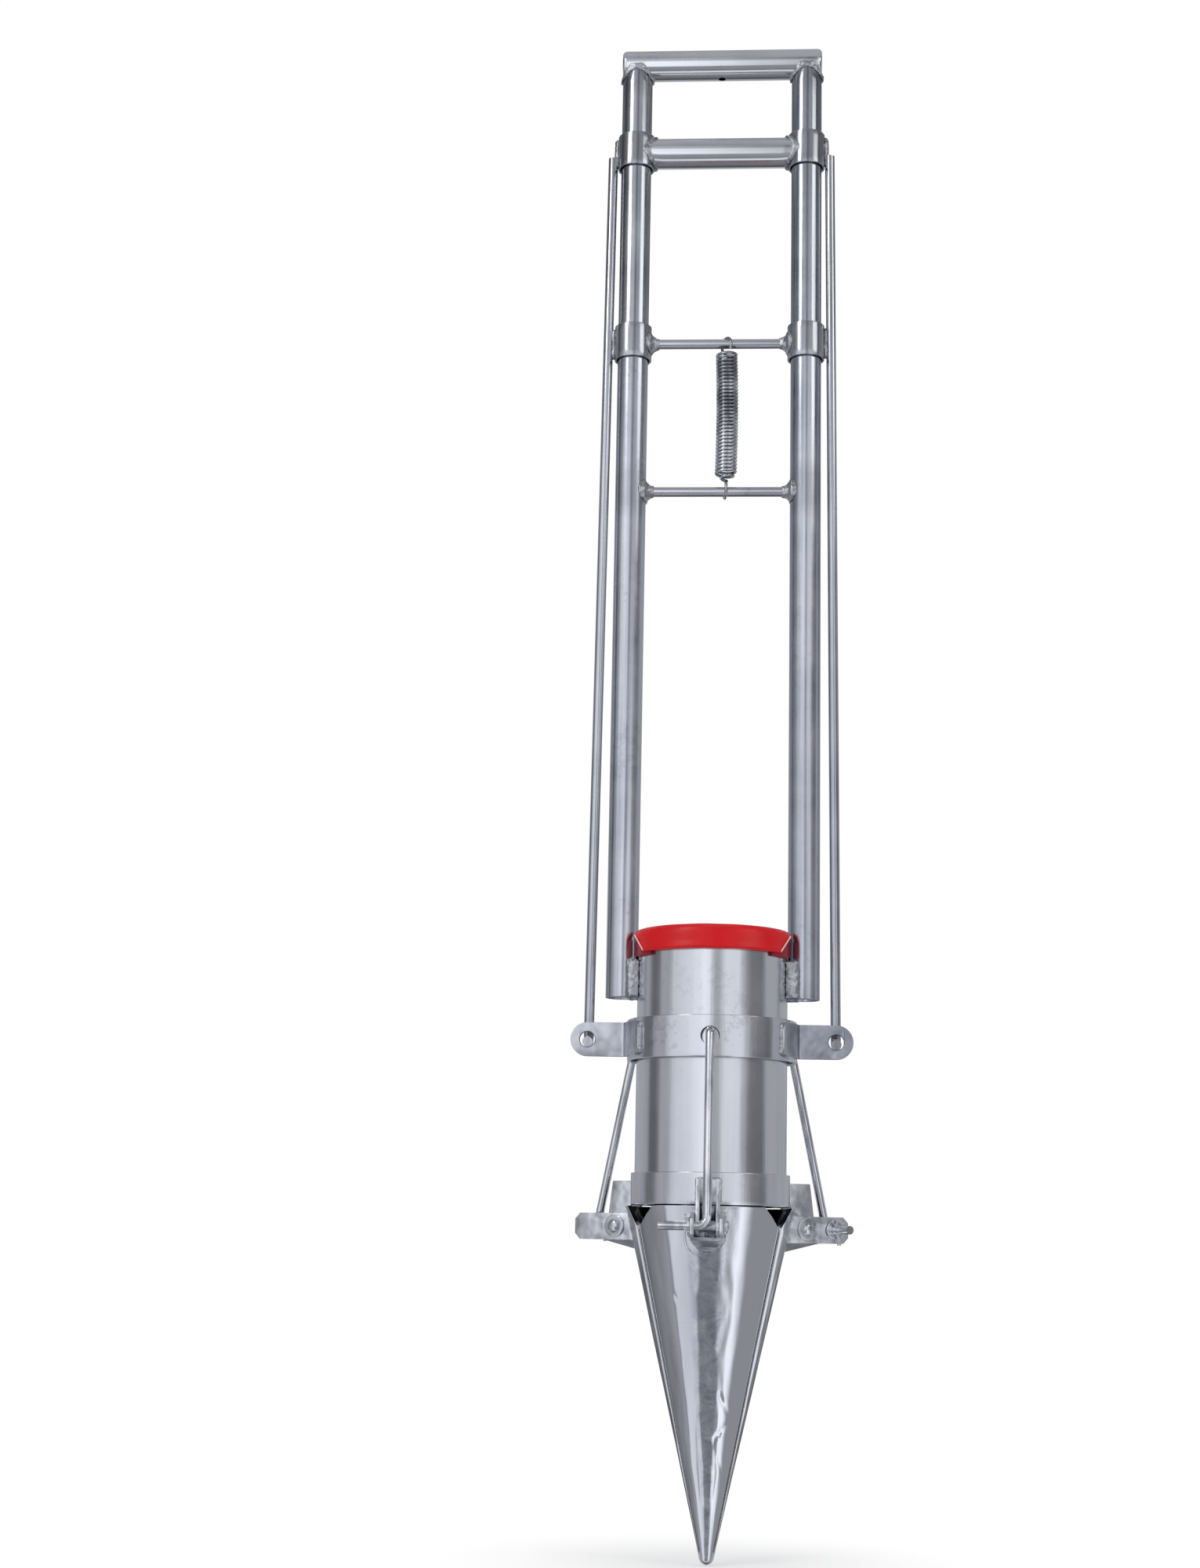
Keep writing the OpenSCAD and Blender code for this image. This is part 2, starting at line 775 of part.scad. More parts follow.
// Folded channel, open above and at its outer end, with a foot that narrows down the jaw
module jaw_lever(set) {
    top_z = pivot_z + lever_rise;
    web_z = pivot_z - lever_drop;
    foot_z = pivot_z - foot_drop;
    end_r = pivot_r + lever_end;
    knee_r = pivot_r + web_knee;
    back_r = cone_r(foot_z) - 2 * lever_t;
    color("silver")
    at_set(set)
    difference() {
        intersection() {
            side_plate(lever_w)
                polygon([
                    [back_r, foot_z],
                    [cone_r(foot_z), foot_z],
                    [knee_r, web_z],
                    [end_r - lever_corner, web_z],
                    [end_r, web_z + lever_corner],
                    [end_r, top_z - lever_corner],
                    [end_r - lever_corner, top_z],
                    [back_r, top_z]
                ]);
            rotate([90, 0, 0])
                linear_extrude(2 * end_r)
                polygon([
                    [-foot_w / 2, foot_z],
                    [-lever_w / 2, web_z],
                    [-lever_w / 2, top_z],
                    [lever_w / 2, top_z],
                    [lever_w / 2, web_z],
                    [foot_w / 2, foot_z]
                ]);
        }
        intersection() {
            side_plate(lever_w - 2 * lever_t)
                polygon([
                    [back_r - over, foot_z + lever_t],
                    [cone_r(foot_z), foot_z + lever_t],
                    [knee_r, web_z + lever_t],
                    [end_r + over, web_z + lever_t],
                    [end_r + over, top_z + over],
                    [back_r - over, top_z + over]
                ]);
            rotate([90, 0, 0])
                linear_extrude(2 * end_r)
                polygon([
                    [-foot_slot_w / 2, foot_z + lever_t],
                    [lever_t - lever_w / 2, web_z + lever_t],
                    [lever_t - lever_w / 2, top_z + over],
                    [lever_w / 2 - lever_t, top_z + over],
                    [lever_w / 2 - lever_t, web_z + lever_t],
                    [foot_slot_w / 2, foot_z + lever_t]
                ]);
        }
        rotate_extrude() cone_outline();
        side_hole(2 * (boss_r + boss_play), pivot_r, pivot_z, lever_w - 2 * lever_t);
        side_hole(pin_d + 2 * pin_play, pivot_r, pivot_z, lever_w + over);
        translate([-lever_w / 2, 0, 0]) side_hole(link_d + 2 * hook_play, hook_r, pivot_z, lever_w / 2);
    }
}

// Everything on a link is placed from its lower hook, with Z up the rod
module on_link(set) {
    at_set(set) translate([0, -hook_r, pivot_z]) rotate([-link_lean, 0, 0]) children();
}

module link(set) {
    run = link_len - top_trim - low_bend;
    color("silver")
    on_link(set)
    translate([0, 0, low_bend])
    difference() {
        union() {
            cylinder(d = link_d, h = run);
            mirror([0, 0, 1]) rotate([0, 0, 90]) elbow(link_d, low_bend, 90);
            translate([-low_bend, 0, -low_bend]) rotate([0, -90, 0]) cylinder(d = link_d, h = link_tail - low_bend);
            translate([0, 0, run]) {
                elbow(link_d, top_bend, top_turn);
                translate([0, top_bend, 0])
                    rotate([-top_turn, 0, 0])
                    translate([0, -top_bend, -hook_lap])
                    cylinder(d = link_d - hook_fit, h = link_tail_end - top_trim + hook_lap);
            }
        }
        translate([-split_x, 0, -low_bend - link_d]) cylinder(d = split_d + 2 * split_play, h = 2 * link_d);
    }
}

module link_washer(set) {
    color("gainsboro")
    on_link(set)
    translate([-lever_w / 2 - hook_slack, 0, 0])
    rotate([0, -90, 0])
    difference() {
        cylinder(d = link_washer_d, h = washer_t);
        translate([0, 0, -over]) cylinder(d = link_d + 2 * split_play, h = washer_t + 2 * over);
    }
}

// Eye above the hook, shank through it, two spread legs below
module split_pin(set) {
    leg_d = split_d / 2;
    eye_z = link_d / 2 + eye_r + leg_d;
    color("gainsboro")
    on_link(set)
    translate([-split_x, 0, 0]) {
        translate([0, 0, eye_z]) rotate([0, 90, 0]) rotate_extrude() translate([eye_r, 0]) circle(d = leg_d);
        translate([0, 0, -link_d / 2 - leg_d]) cylinder(d = split_d, h = link_d / 2 + eye_z - eye_r + leg_d);
        for (side = [-1, 1]) {
            translate([0, 0, -link_d / 2 - leg_d / 2])
                rotate([side * leg_splay, 0, 0])
                translate([0, 0, -leg_len]) cylinder(d = leg_d, h = leg_len);
        }
    }
}

top_handle_bar();
handle_end_caps();
upright(-1);  // upright_left
upright(1);  // upright_right
barrel();
lower_collar();
rim_trim();
frame_weld_beads();
spring_anchor_rod();
squeeze_bar();
sleeve(-1, squeeze_z);  // upper_sleeve_left
sleeve(1, squeeze_z);  // upper_sleeve_right
sleeve(-1, pull_z);  // lower_sleeve_left
sleeve(1, pull_z);  // lower_sleeve_right
spring_pull_rod();
mirror([1, 0, 0]) side_rod();  // pull_rod_left
side_rod();  // pull_rod_right
lift_ring();
mirror([1, 0, 0]) ring_ear();  // ring_ear_left
ring_ear();  // ring_ear_right
slide_weld_beads();
return_spring();
hinge_bracket(FRONT);  // hinge_bracket_front
hinge_bracket(LEFT);  // hinge_bracket_left
hinge_bracket(RIGHT);  // hinge_bracket_right
hinge_pin(FRONT);  // hinge_pin_front
hinge_pin(LEFT);  // hinge_pin_left
hinge_pin(RIGHT);  // hinge_pin_right
hinge_washers();
jaw(FRONT);  // jaw_front
jaw(LEFT);  // jaw_left
jaw(RIGHT);  // jaw_right
jaw_lever(FRONT);  // jaw_lever_front
jaw_lever(LEFT);  // jaw_lever_left
jaw_lever(RIGHT);  // jaw_lever_right
link(FRONT);  // link_front
link(LEFT);  // link_left
link(RIGHT);  // link_right
link_washer(FRONT);  // link_washer_front
link_washer(LEFT);  // link_washer_left
link_washer(RIGHT);  // link_washer_right
split_pin(FRONT);  // split_pin_front
split_pin(LEFT);  // split_pin_left
split_pin(RIGHT);  // split_pin_right
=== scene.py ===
from contextlib import contextmanager
from math import asin, atan2, ceil, cos, degrees, exp, hypot, pi, radians, sin, sqrt, tan

import bmesh
import bpy
from mathutils import Matrix, Quaternion, Vector, noise


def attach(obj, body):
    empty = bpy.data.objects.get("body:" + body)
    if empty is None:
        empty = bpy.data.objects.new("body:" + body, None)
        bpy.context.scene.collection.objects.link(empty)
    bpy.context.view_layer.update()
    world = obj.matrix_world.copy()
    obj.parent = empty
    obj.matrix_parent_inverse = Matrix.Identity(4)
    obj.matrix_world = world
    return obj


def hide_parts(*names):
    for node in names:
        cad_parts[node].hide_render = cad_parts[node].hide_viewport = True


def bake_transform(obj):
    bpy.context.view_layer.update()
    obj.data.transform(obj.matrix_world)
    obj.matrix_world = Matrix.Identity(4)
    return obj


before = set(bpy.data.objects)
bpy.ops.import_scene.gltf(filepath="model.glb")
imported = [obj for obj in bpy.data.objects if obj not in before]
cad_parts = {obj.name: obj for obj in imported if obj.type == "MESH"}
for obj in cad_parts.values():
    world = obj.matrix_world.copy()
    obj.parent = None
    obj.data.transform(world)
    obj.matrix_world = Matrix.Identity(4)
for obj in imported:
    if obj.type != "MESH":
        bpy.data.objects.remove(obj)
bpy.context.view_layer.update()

# Room. A pale studio: a white sweep, a floor under the jaw tip, a grey wall with plain cards that
# only the polished metal sees, and three large soft lamps. The camera stands low and looks up.
MM = 0.001
scene = bpy.context.scene
scene.view_settings.view_transform = "Standard"

EYE = (29.5, -1410.0, 178.7)
YAW, PITCH, ROLL = 4.01, 10.91, 1.15
FRAME_PIXELS = 2000
FOCAL_PIXELS = 3032
SENSOR = 36


def turned(angle, axis="Z"):
    """A turn by this many degrees about an axis."""
    return Matrix.Rotation(radians(angle), 4, axis)


def hung(name, data):
    """A new object in the scene."""
    made = bpy.data.objects.new(name, data)
    scene.collection.objects.link(made)
    return made


lens = bpy.data.cameras.new("camera")
lens.sensor_fit = "VERTICAL"
lens.sensor_height = SENSOR
lens.lens = SENSOR * FOCAL_PIXELS / FRAME_PIXELS
camera = bpy.data.objects.new("camera", lens)
camera.matrix_world = (Matrix.Translation(Vector(EYE) * MM) @ turned(YAW) @ turned(90 + PITCH, "X")
                       @ turned(ROLL))
scene.collection.objects.link(camera)
scene.camera = camera


def add(tree, kind, sockets=None, **settings):
    """One node in a tree, with its settings, and a value or a link for each named socket."""
    made = tree.nodes.new(kind)
    for key, value in settings.items():
        setattr(made, key, value)
    for key, value in (sockets or {}).items():
        if isinstance(value, bpy.types.NodeSocket):
            tree.links.new(value, made.inputs[key])
        else:
            made.inputs[key].default_value = value
    return made


def emptied(holder):
    """The node tree of a material or of the world, switched on and emptied."""
    holder.use_nodes = True
    holder.node_tree.nodes.clear()
    return holder.node_tree


def maths(tree, operation, *values):
    """What a maths node makes of one or two values."""
    return add(tree, "ShaderNodeMath", dict(enumerate(values)), operation=operation).outputs[0]


def vectors(tree, operation, *values):
    """What a vector maths node makes of one or two vectors: a vector, or a number where it gives one."""
    made = add(tree, "ShaderNodeVectorMath", dict(enumerate(values)), operation=operation)
    return made.outputs["Value" if operation in ("LENGTH", "DOT_PRODUCT") else "Vector"]


def ranged(tree, value, low, high, first=0.0, last=1.0, **settings):
    """A value stretched from one range to another, and held at both ends."""
    return add(tree, "ShaderNodeMapRange", {"Value": value, "From Min": low, "From Max": high,
                                            "To Min": first, "To Max": last}, **settings).outputs[0]


def mixed(tree, share, one, other):
    """Two colours mixed by a share."""
    return add(tree, "ShaderNodeMix", {0: share, 6: one, 7: other}, data_type="RGBA").outputs[2]


def place_on(tree):
    """Where a point is on its piece, in metres."""
    return add(tree, "ShaderNodeTexCoord").outputs["Object"]


def split_up(tree, vector):
    """The X, Y and Z of a vector."""
    return add(tree, "ShaderNodeSeparateXYZ", {0: vector}).outputs


def seen_directly(tree):
    """1 for camera, mirror and glass rays, 0 for the rays that light things."""
    ray = add(tree, "ShaderNodeLightPath").outputs
    return maths(tree, "MAXIMUM", maths(tree, "MAXIMUM", ray["Is Camera Ray"], ray["Is Glossy Ray"]),
                 ray["Is Transmission Ray"])


def set_up(name, points, faces):
    """A bare object of the room, given in metres, and the empty tree of its own paint."""
    mesh = bpy.data.meshes.new(name)
    mesh.from_pydata(points, [], faces)
    mesh.materials.append(bpy.data.materials.new(name + "_paint"))
    return hung(name, mesh), emptied(mesh.materials[0])


AMBIENT = 0.62
room = bpy.data.worlds.new("room")
scene.world = room
tree = emptied(room)
ambient = add(tree, "ShaderNodeBackground", {"Color": (0.97, 0.98, 1.0, 1), "Strength": AMBIENT})
sweep = add(tree, "ShaderNodeBackground", {"Color": (1, 1, 1, 1), "Strength": 1.0})
both = {0: seen_directly(tree), 1: ambient.outputs[0], 2: sweep.outputs[0]}
add(tree, "ShaderNodeOutputWorld", {"Surface": add(tree, "ShaderNodeMixShader", both).outputs[0]})

FLOOR_HALF = 4.0
FLOOR_DROP = 0.0006
SHADOW_NEAR, SHADOW_FAR, SHADOW_PALE = 0.02, 0.17, 0.4
corners = [(x * FLOOR_HALF, y * FLOOR_HALF, -FLOOR_DROP) for x, y in ((-1, -1), (1, -1), (1, 1), (-1, 1))]
floor, tree = set_up("floor", corners, [(0, 1, 2, 3)])
fade = ranged(tree, vectors(tree, "LENGTH", place_on(tree)), SHADOW_NEAR, SHADOW_FAR, SHADOW_PALE, 1.0,
              interpolation_type="SMOOTHSTEP")
view = maths(tree, "MULTIPLY", fade, seen_directly(tree))
matt = add(tree, "ShaderNodeBsdfDiffuse", {"Color": (0.93, 0.93, 0.93, 1)})
glow = add(tree, "ShaderNodeEmission", {"Color": (1, 1, 1, 1), "Strength": 1.0})
both = {0: view, 1: matt.outputs[0], 2: glow.outputs[0]}
add(tree, "ShaderNodeOutputMaterial", {"Surface": add(tree, "ShaderNodeMixShader", both).outputs[0]})
floor.visible_glossy = False

# The surround that only polished metal sees: a round grey wall hung with a few plain cards, a
# second set of cards under eye level, and a pale mat on its dark base. Each card is given by the
# degrees where it starts and ends, from the front and positive to the right, and its two tones.
SURROUND_R, SURROUND_LOW, SURROUND_HIGH = 1.7, -1.4, 2.1
SURROUND_STEPS = 72
CARD_EDGE = 6
CARD_TINT = (0.97, 1.0, 1.08)
UPPER_WALL, UPPER_BACK = 0.4, 0.4
UPPER_CARDS = ((-106, -84, 0.15, 0.15), (-62, 0, 0.7, 1.1), (15, 45, 0.8, 0.8), (54, 88, 0.15, 0.15))
UNDER_WALL, UNDER_BACK = 0.3, 0.1
UNDER_CARDS = ((-148, -126, 0.9, 0.9), (-118, -70, 0.15, 0.4), (-62, -28, 0.8, 0.8), (31, 66, 1.2, 0.4),
               (126, 148, 0.9, 0.9))
CARD_TOP, CARD_FADE, OVER_CARDS = 1.2, 0.3, 0.5
EYE_LEVEL, UNDER_LEVEL = 0.10, 0.0
BASE_TONE, LID_TONE = 0.2, 0.34
MAT_NEAR, MAT_FAR, MAT_EDGE, MAT_TONE = 0.55, 1.15, 0.1, 0.75
points = [(0, 0, SURROUND_LOW), (0, 0, SURROUND_HIGH)]
faces = []
for k in range(SURROUND_STEPS):
    a = 2 * pi * k / SURROUND_STEPS
    x, y = SURROUND_R * sin(a), -SURROUND_R * cos(a)
    points += [(x, y, SURROUND_LOW), (x, y, SURROUND_HIGH)]
    here, ahead = 2 + 2 * k, 2 + 2 * ((k + 1) % SURROUND_STEPS)
    faces += [(here, ahead, ahead + 1, here + 1), (0, ahead, here), (1, here + 1, ahead + 1)]
surround, tree = set_up("surround", points, faces)
across_wall, along_wall, up_wall = split_up(tree, place_on(tree))
front = maths(tree, "MULTIPLY", along_wall, -1.0)
share = ranged(tree, maths(tree, "ARCTAN2", across_wall, front), -pi, pi)
ahead = ranged(tree, front, 0.0, SURROUND_R)
rings = []
for value, cards, wall_tone, back, first, last, edge in (
    (share, UPPER_CARDS, UPPER_WALL, UPPER_BACK, -180, 180, CARD_EDGE),
    (share, UNDER_CARDS, UNDER_WALL, UNDER_BACK, -180, 180, CARD_EDGE),
    (ahead, ((MAT_NEAR, MAT_FAR, MAT_TONE, MAT_TONE),), BASE_TONE, BASE_TONE, 0.0, SURROUND_R, MAT_EDGE),
):
    table = [(first, back)]
    for number, (starts, ends, one, other) in enumerate(cards):
        before = wall_tone if number else back
        after = wall_tone if number < len(cards) - 1 else back
        table += [(starts - edge / 2, before), (starts + edge / 2, one),
                  (ends - edge / 2, other), (ends + edge / 2, after)]
    table += [(last, back)]
    ramp = add(tree, "ShaderNodeValToRGB", {0: value})
    stops = ramp.color_ramp.elements
    while len(stops) < len(table):
        stops.new(0.5)
    for stop, (at, tone) in zip(stops, table):
        stop.position = (at - first) / (last - first)
    for stop, (at, tone) in zip(stops, table):
        stop.color = (*(0.5 * tone * tint for tint in CARD_TINT), 1)
    rings.append(ramp.outputs[0])
walled = mixed(tree, ranged(tree, up_wall, EYE_LEVEL, UNDER_LEVEL), rings[0], rings[1])
over = ranged(tree, up_wall, CARD_TOP, CARD_TOP + CARD_FADE, 1.0, OVER_CARDS)
walled = add(tree, "ShaderNodeVectorMath", {0: walled, 3: over}, operation="SCALE").outputs[0]
lid_tone = (*(0.5 * LID_TONE * tint for tint in CARD_TINT), 1)
toned = mixed(tree, maths(tree, "GREATER_THAN", up_wall, SURROUND_HIGH - 0.01), walled, lid_tone)
toned = mixed(tree, maths(tree, "LESS_THAN", up_wall, SURROUND_LOW + 0.01), toned, rings[2])
glow = add(tree, "ShaderNodeEmission", {"Color": toned, "Strength": 2.0})
add(tree, "ShaderNodeOutputMaterial", {"Surface": glow.outputs[0]})
surround.visible_camera = surround.visible_diffuse = surround.visible_shadow = False

# Lamps: place, width and height in metres, power in watts
LAMP_AIM = Vector((0, 0, 0.45))
for name, spot, width, height, power in (
    ("lamp_left", (-1.15, -1.25, 1.35), 0.5, 1.5, 9.0),
    ("lamp_right", (1.5, -0.9, 1.0), 0.8, 1.4, 6.0),
    ("lamp_top", (0.0, -0.3, 2.3), 1.2, 0.8, 7.0),
):
    glow = bpy.data.lights.new(name, "AREA")
    glow.shape = "RECTANGLE"
    glow.size, glow.size_y, glow.energy = width, height, power
    lamp = hung(name, glow)
    lamp.location = spot
    lamp.rotation_euler = (LAMP_AIM - Vector(spot)).to_track_quat("-Z", "Y").to_euler()


# Uprights. Two 19 mm steel tubes, drawn and zinc plated, that carry everything. Each is coped
# under the handle bar and welded to it, and its open foot laps the barrel's side.
TUBE_R, TUBE_WALL = 9.5, 1.2
UPRIGHT_X = 54.0
UPRIGHT_FOOT, BAR_Z = 321.5, 920.5
WELD_GAP = 0.15
SIDES = (("left", -1), ("right", 1))
ANCHOR_Z, PULL_Z, SQUEEZE_Z = 635.5, 732.0, 860.0


def polar(r, a, z=0.0):
    """The point at this radius, angle and height."""
    return Vector((r * cos(a), r * sin(a), z))


def rounded(corners, radius, steps=3):
    """A closed outline with its corners rounded."""
    outline = []
    for i, corner in enumerate(corners):
        corner = Vector(corner)
        before, after = Vector(corners[i - 1]), Vector(corners[(i + 1) % len(corners)])
        a = corner + (before - corner).normalized() * radius
        b = corner + (after - corner).normalized() * radius
        for k in range(steps + 1):
            t = k / steps
            outline.append(tuple(a * (1 - t) ** 2 + corner * 2 * t * (1 - t) + b * t * t))
    return outline


def divided(points, longest):
    """A run of points with its long stretches divided."""
    full = []
    for a, b in zip(points, points[1:]):
        a, b = Vector(a), Vector(b)
        count = max(1, ceil((b - a).length / longest))
        full += [a.lerp(b, k / count) for k in range(count)]
    return full + [Vector(points[-1])]


def ruled(outline, longest):
    """A closed outline with its long stretches divided, so that they can take a dent."""
    return divided([*outline, outline[0]], longest)[:-1]


def wall(inner, outer, low, high, edge, longest=1000.0):
    """The cut outline of a round wall, as (radius, height), with its four edges rounded."""
    return ruled(rounded([(inner, low), (outer, low), (outer, high), (inner, high)], edge), longest)


def swept(outline, steps, reach=None, centre=0.0, caps=None):
    """An outline swept round Z from the front, all round or to a half angle that each point sets."""
    n = len(outline)
    count = steps if reach is None else steps + 1
    points = []
    for i in range(count):
        for r, z in outline:
            a = 2 * pi * i / steps if reach is None else centre + reach(r, z) * (2 * i / steps - 1)
            points.append(Vector((r * sin(a), -r * cos(a), z)))
    faces = [
        (i * n + k, i * n + (k + 1) % n, (i + 1) % count * n + (k + 1) % n, (i + 1) % count * n + k)
        for i in range(steps) for k in range(n)
    ]
    if reach is not None:
        for end in (0, steps * n):
            faces += [tuple(end + k for k in cap) for cap in (caps or [range(n)])]
    return points, faces


def as_mesh(points, faces):
    """A mesh in metres from points in millimetres."""
    mesh = bpy.data.meshes.new("shape")
    mesh.from_pydata([Vector(p) * MM for p in points], [], faces)
    return mesh


@contextmanager
def opened(mesh):
    """The points, edges and faces of a mesh, open for a change."""
    bm = bmesh.new()
    bm.from_mesh(mesh)
    yield bm
    bm.to_mesh(mesh)
    bm.free()


def shaded(mesh, crease=38.0):
    """Faces turned outwards and shaded smooth, with the edges above an angle left sharp."""
    with opened(mesh) as bm:
        bmesh.ops.recalc_face_normals(bm, faces=bm.faces)
        if bm.calc_volume(signed=True) < 0:
            bmesh.ops.reverse_faces(bm, faces=bm.faces)
        for face in bm.faces:
            face.smooth = True
        for edge in bm.edges:
            edge.smooth = len(edge.link_faces) == 2 and edge.calc_face_angle(0.0) < radians(crease)
    return mesh


def piece(name, mesh, material, body, slot, *nodes):
    """A finished piece: its object, its one material, its body, if one, and the nodes it stands for."""
    mesh.name = name
    made = hung(name, mesh)
    mesh.materials.clear()
    mesh.materials.append(material)
    for face in mesh.polygons:
        face.material_index = 0
    if body:
        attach(made, body)
    if nodes:
        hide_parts(*nodes)
    return made


def noisy(tree, place, scale, detail, rough=0.5, twist=0.0):
    """A noise texture's value at a place, its scale given per metre."""
    return add(tree, "ShaderNodeTexNoise", {"Vector": place, "Scale": scale, "Detail": detail,
                                            "Roughness": rough, "Distortion": twist}).outputs[0]


def stretched(tree, place, scale):
    """A place with each axis scaled on its own."""
    return add(tree, "ShaderNodeMapping", {"Vector": place, "Scale": scale}).outputs[0]


def bumped(tree, height, strength, distance, **under):
    """The normal of a skin that rises and falls with a value."""
    return add(tree, "ShaderNodeBump", {"Height": height, "Strength": strength, "Distance": distance,
                                        **under}).outputs[0]


def skinned(tree, tone, gloss, normal, **more):
    """The surface itself, given its colour, roughness and normal."""
    skin = add(tree, "ShaderNodeBsdfPrincipled", {"Base Color": tone, "Roughness": gloss,
                                                  "Normal": normal, **more})
    add(tree, "ShaderNodeOutputMaterial", {"Surface": skin.outputs[0]})


# Tint near welds. At some heights the same tint is painted shade, in a hole or where parts meet.
BURNT_AND_SHADE_TONE, SPOT_TONE = (0.29, 0.29, 0.31, 1), (0.11, 0.115, 0.13, 1)
BURNT_AND_SHADE_REACH, BURNT_AND_SHADE_RAGGED = 0.010, 0.016


def metal(name, light, dark, rough, grain, cloud=30.0, spots=0.0, brushed=0.12, dents=0.0, heat_and_shade=()):
    """Bare metal: streaks along the grain, soft clouds, small dark spots, brushed lines and weld tint,
    which at some given heights is painted shade instead.

    grain is the streaks' frequency along each axis, per metre. The last argument lists heights of
    welds, and of painted shade given the same tint."""
    made = bpy.data.materials.new(name)
    tree = emptied(made)
    place = place_on(tree)
    streak = noisy(tree, stretched(tree, place, grain), 1.0, 3.0, 0.55)
    streak = ranged(tree, streak, 0.36, 0.64, interpolation_type="SMOOTHSTEP")
    patch = noisy(tree, place, cloud, 6.0, 0.62)
    tone = mixed(tree, ranged(tree, maths(tree, "ADD", streak, patch), 0.25, 1.35), (*dark, 1), (*light, 1))
    if heat_and_shade:
        height = split_up(tree, place)["Z"]
        offs = [maths(tree, "ABSOLUTE", maths(tree, "SUBTRACT", height, level * MM)) for level in heat_and_shade]
        nearest = offs[0]
        for off in offs[1:]:
            nearest = maths(tree, "MINIMUM", nearest, off)
        edge = maths(tree, "SUBTRACT", nearest, maths(tree, "MULTIPLY", patch, BURNT_AND_SHADE_RAGGED))
        tone = mixed(tree, ranged(tree, edge, BURNT_AND_SHADE_REACH, 0.0, 0.0, 0.4), tone, BURNT_AND_SHADE_TONE)
    if spots:
        grit = maths(tree, "MULTIPLY", noisy(tree, place, 210.0, 4.0, 0.7), noisy(tree, place, 16.0, 2.0))
        tone = mixed(tree, ranged(tree, grit, 0.33, 0.40, 0.0, spots), tone, SPOT_TONE)
    gloss = ranged(tree, patch, 0.3, 0.7, rough * 0.75, rough * 1.35)
    lines = noisy(tree, stretched(tree, place, [g * 14 for g in grain]), 1.0, 2.0)
    normal = bumped(tree, lines, brushed, 0.0004)
    if dents:
        normal = bumped(tree, noisy(tree, place, 60.0, 2.0), dents, 0.004, Normal=normal)
    skinned(tree, tone, gloss, normal, Metallic=1.0)
    return made


# The uprights' plating is painted darker than the bars', which are the same tube: painted shade.
tube_zinc_painted_darker = metal("zinc_plated_tube_painted_shade", (0.66, 0.675, 0.71), (0.36, 0.38, 0.43), 0.20, (110, 110, 2.0),
                  spots=0.16, brushed=0.05, heat_and_shade=(ANCHOR_Z, BAR_Z - 8))
for side, sx in SIDES:
    points, faces = swept(wall(TUBE_R - TUBE_WALL, TUBE_R, UPRIGHT_FOOT, BAR_Z, 0.3, 12.0), 64)
    for p in points:
        if p.z > BAR_Z - 2 * TUBE_R:
            cope = sqrt((TUBE_R + WELD_GAP) ** 2 - min(abs(p.y), TUBE_R) ** 2)
            p.z -= cope * (p.z - BAR_Z + 2 * TUBE_R) / (2 * TUBE_R)
        p.x += sx * UPRIGHT_X
    piece("upright_%s_tube" % side, shaded(as_mesh(points, faces)), tube_zinc_painted_darker, "frame", "polished_steel",
          "upright_" + side)


# Handle bar. The same tube laid across the uprights' tops. Each end is closed by a pressed cap,
# welded in and ground round, and a small hole underneath lets the plating bath drain.
BAR_LEN = 127.0
CAP_EDGE = 2.5
VENT_R = 2.25
across = turned(90, "Y")


def worked(mesh, *steps):
    """The mesh after modifiers, each given as (kind, its settings)."""
    body = hung("blank", mesh)
    for i, (kind, settings) in enumerate(steps):
        step = body.modifiers.new("step_%d" % i, kind)
        for key, value in settings.items():
            if hasattr(step, key):
                setattr(step, key, value)
            else:
                step[key] = value
    result = bpy.data.meshes.new_from_object(body.evaluated_get(bpy.context.evaluated_depsgraph_get()))
    bpy.data.objects.remove(body)
    return result


def bored(mesh, *cutters):
    """The mesh with each cutter's solid taken away."""
    tools = [hung("tool", shaded(as_mesh(*cutter))) for cutter in cutters]
    cuts = [("BOOLEAN", {"operation": "DIFFERENCE", "solver": "EXACT", "object": tool}) for tool in tools]
    result = worked(mesh, *cuts)
    for tool in tools:
        bpy.data.objects.remove(tool)
    return result


def merged(mesh):
    """The mesh with doubled points made one, and faces without an area taken out."""
    with opened(mesh) as bm:
        bmesh.ops.remove_doubles(bm, verts=bm.verts, dist=1e-6)
        bmesh.ops.dissolve_degenerate(bm, edges=bm.edges, dist=1e-7)
    return mesh


def joined(parts):
    """The points and faces of several shapes as one."""
    points, faces = [], []
    for more, skins in parts:
        faces += [tuple(len(points) + k for k in skin) for skin in skins]
        points += more
    return points, faces


def post(radius, low, high, steps, place):
    """A plain round cutter."""
    points = [place @ polar(radius, 2 * pi * k / steps, z) for z in (low, high) for k in range(steps)]
    faces = [(k, (k + 1) % steps, steps + (k + 1) % steps, steps + k) for k in range(steps)]
    faces += [tuple(range(steps)), tuple(range(steps, 2 * steps))]
    return points, faces


# The bars' plating is painted lighter than the uprights', which are the same tube: painted light.
bar_zinc_painted_lighter = metal("zinc_plated_bar_painted_light", (0.93, 0.935, 0.95), (0.70, 0.71, 0.73), 0.13, (2, 110, 110),
                 spots=0.15, brushed=0.05)
run = BAR_LEN / 2 - CAP_EDGE
points, faces = swept(wall(TUBE_R - TUBE_WALL, TUBE_R, -run, run, 0.15, 8.0), 64)
points = [across @ p + Vector((0, 0, BAR_Z)) for p in points]
vent = post(VENT_R, BAR_Z - 2 * TUBE_R, BAR_Z - TUBE_R / 2, 24, Matrix())
mesh = shaded(bored(shaded(as_mesh(points, faces)), vent))
piece("handle_bar_tube", mesh, bar_zinc_painted_lighter, "frame", "polished_steel", "top_handle_bar")

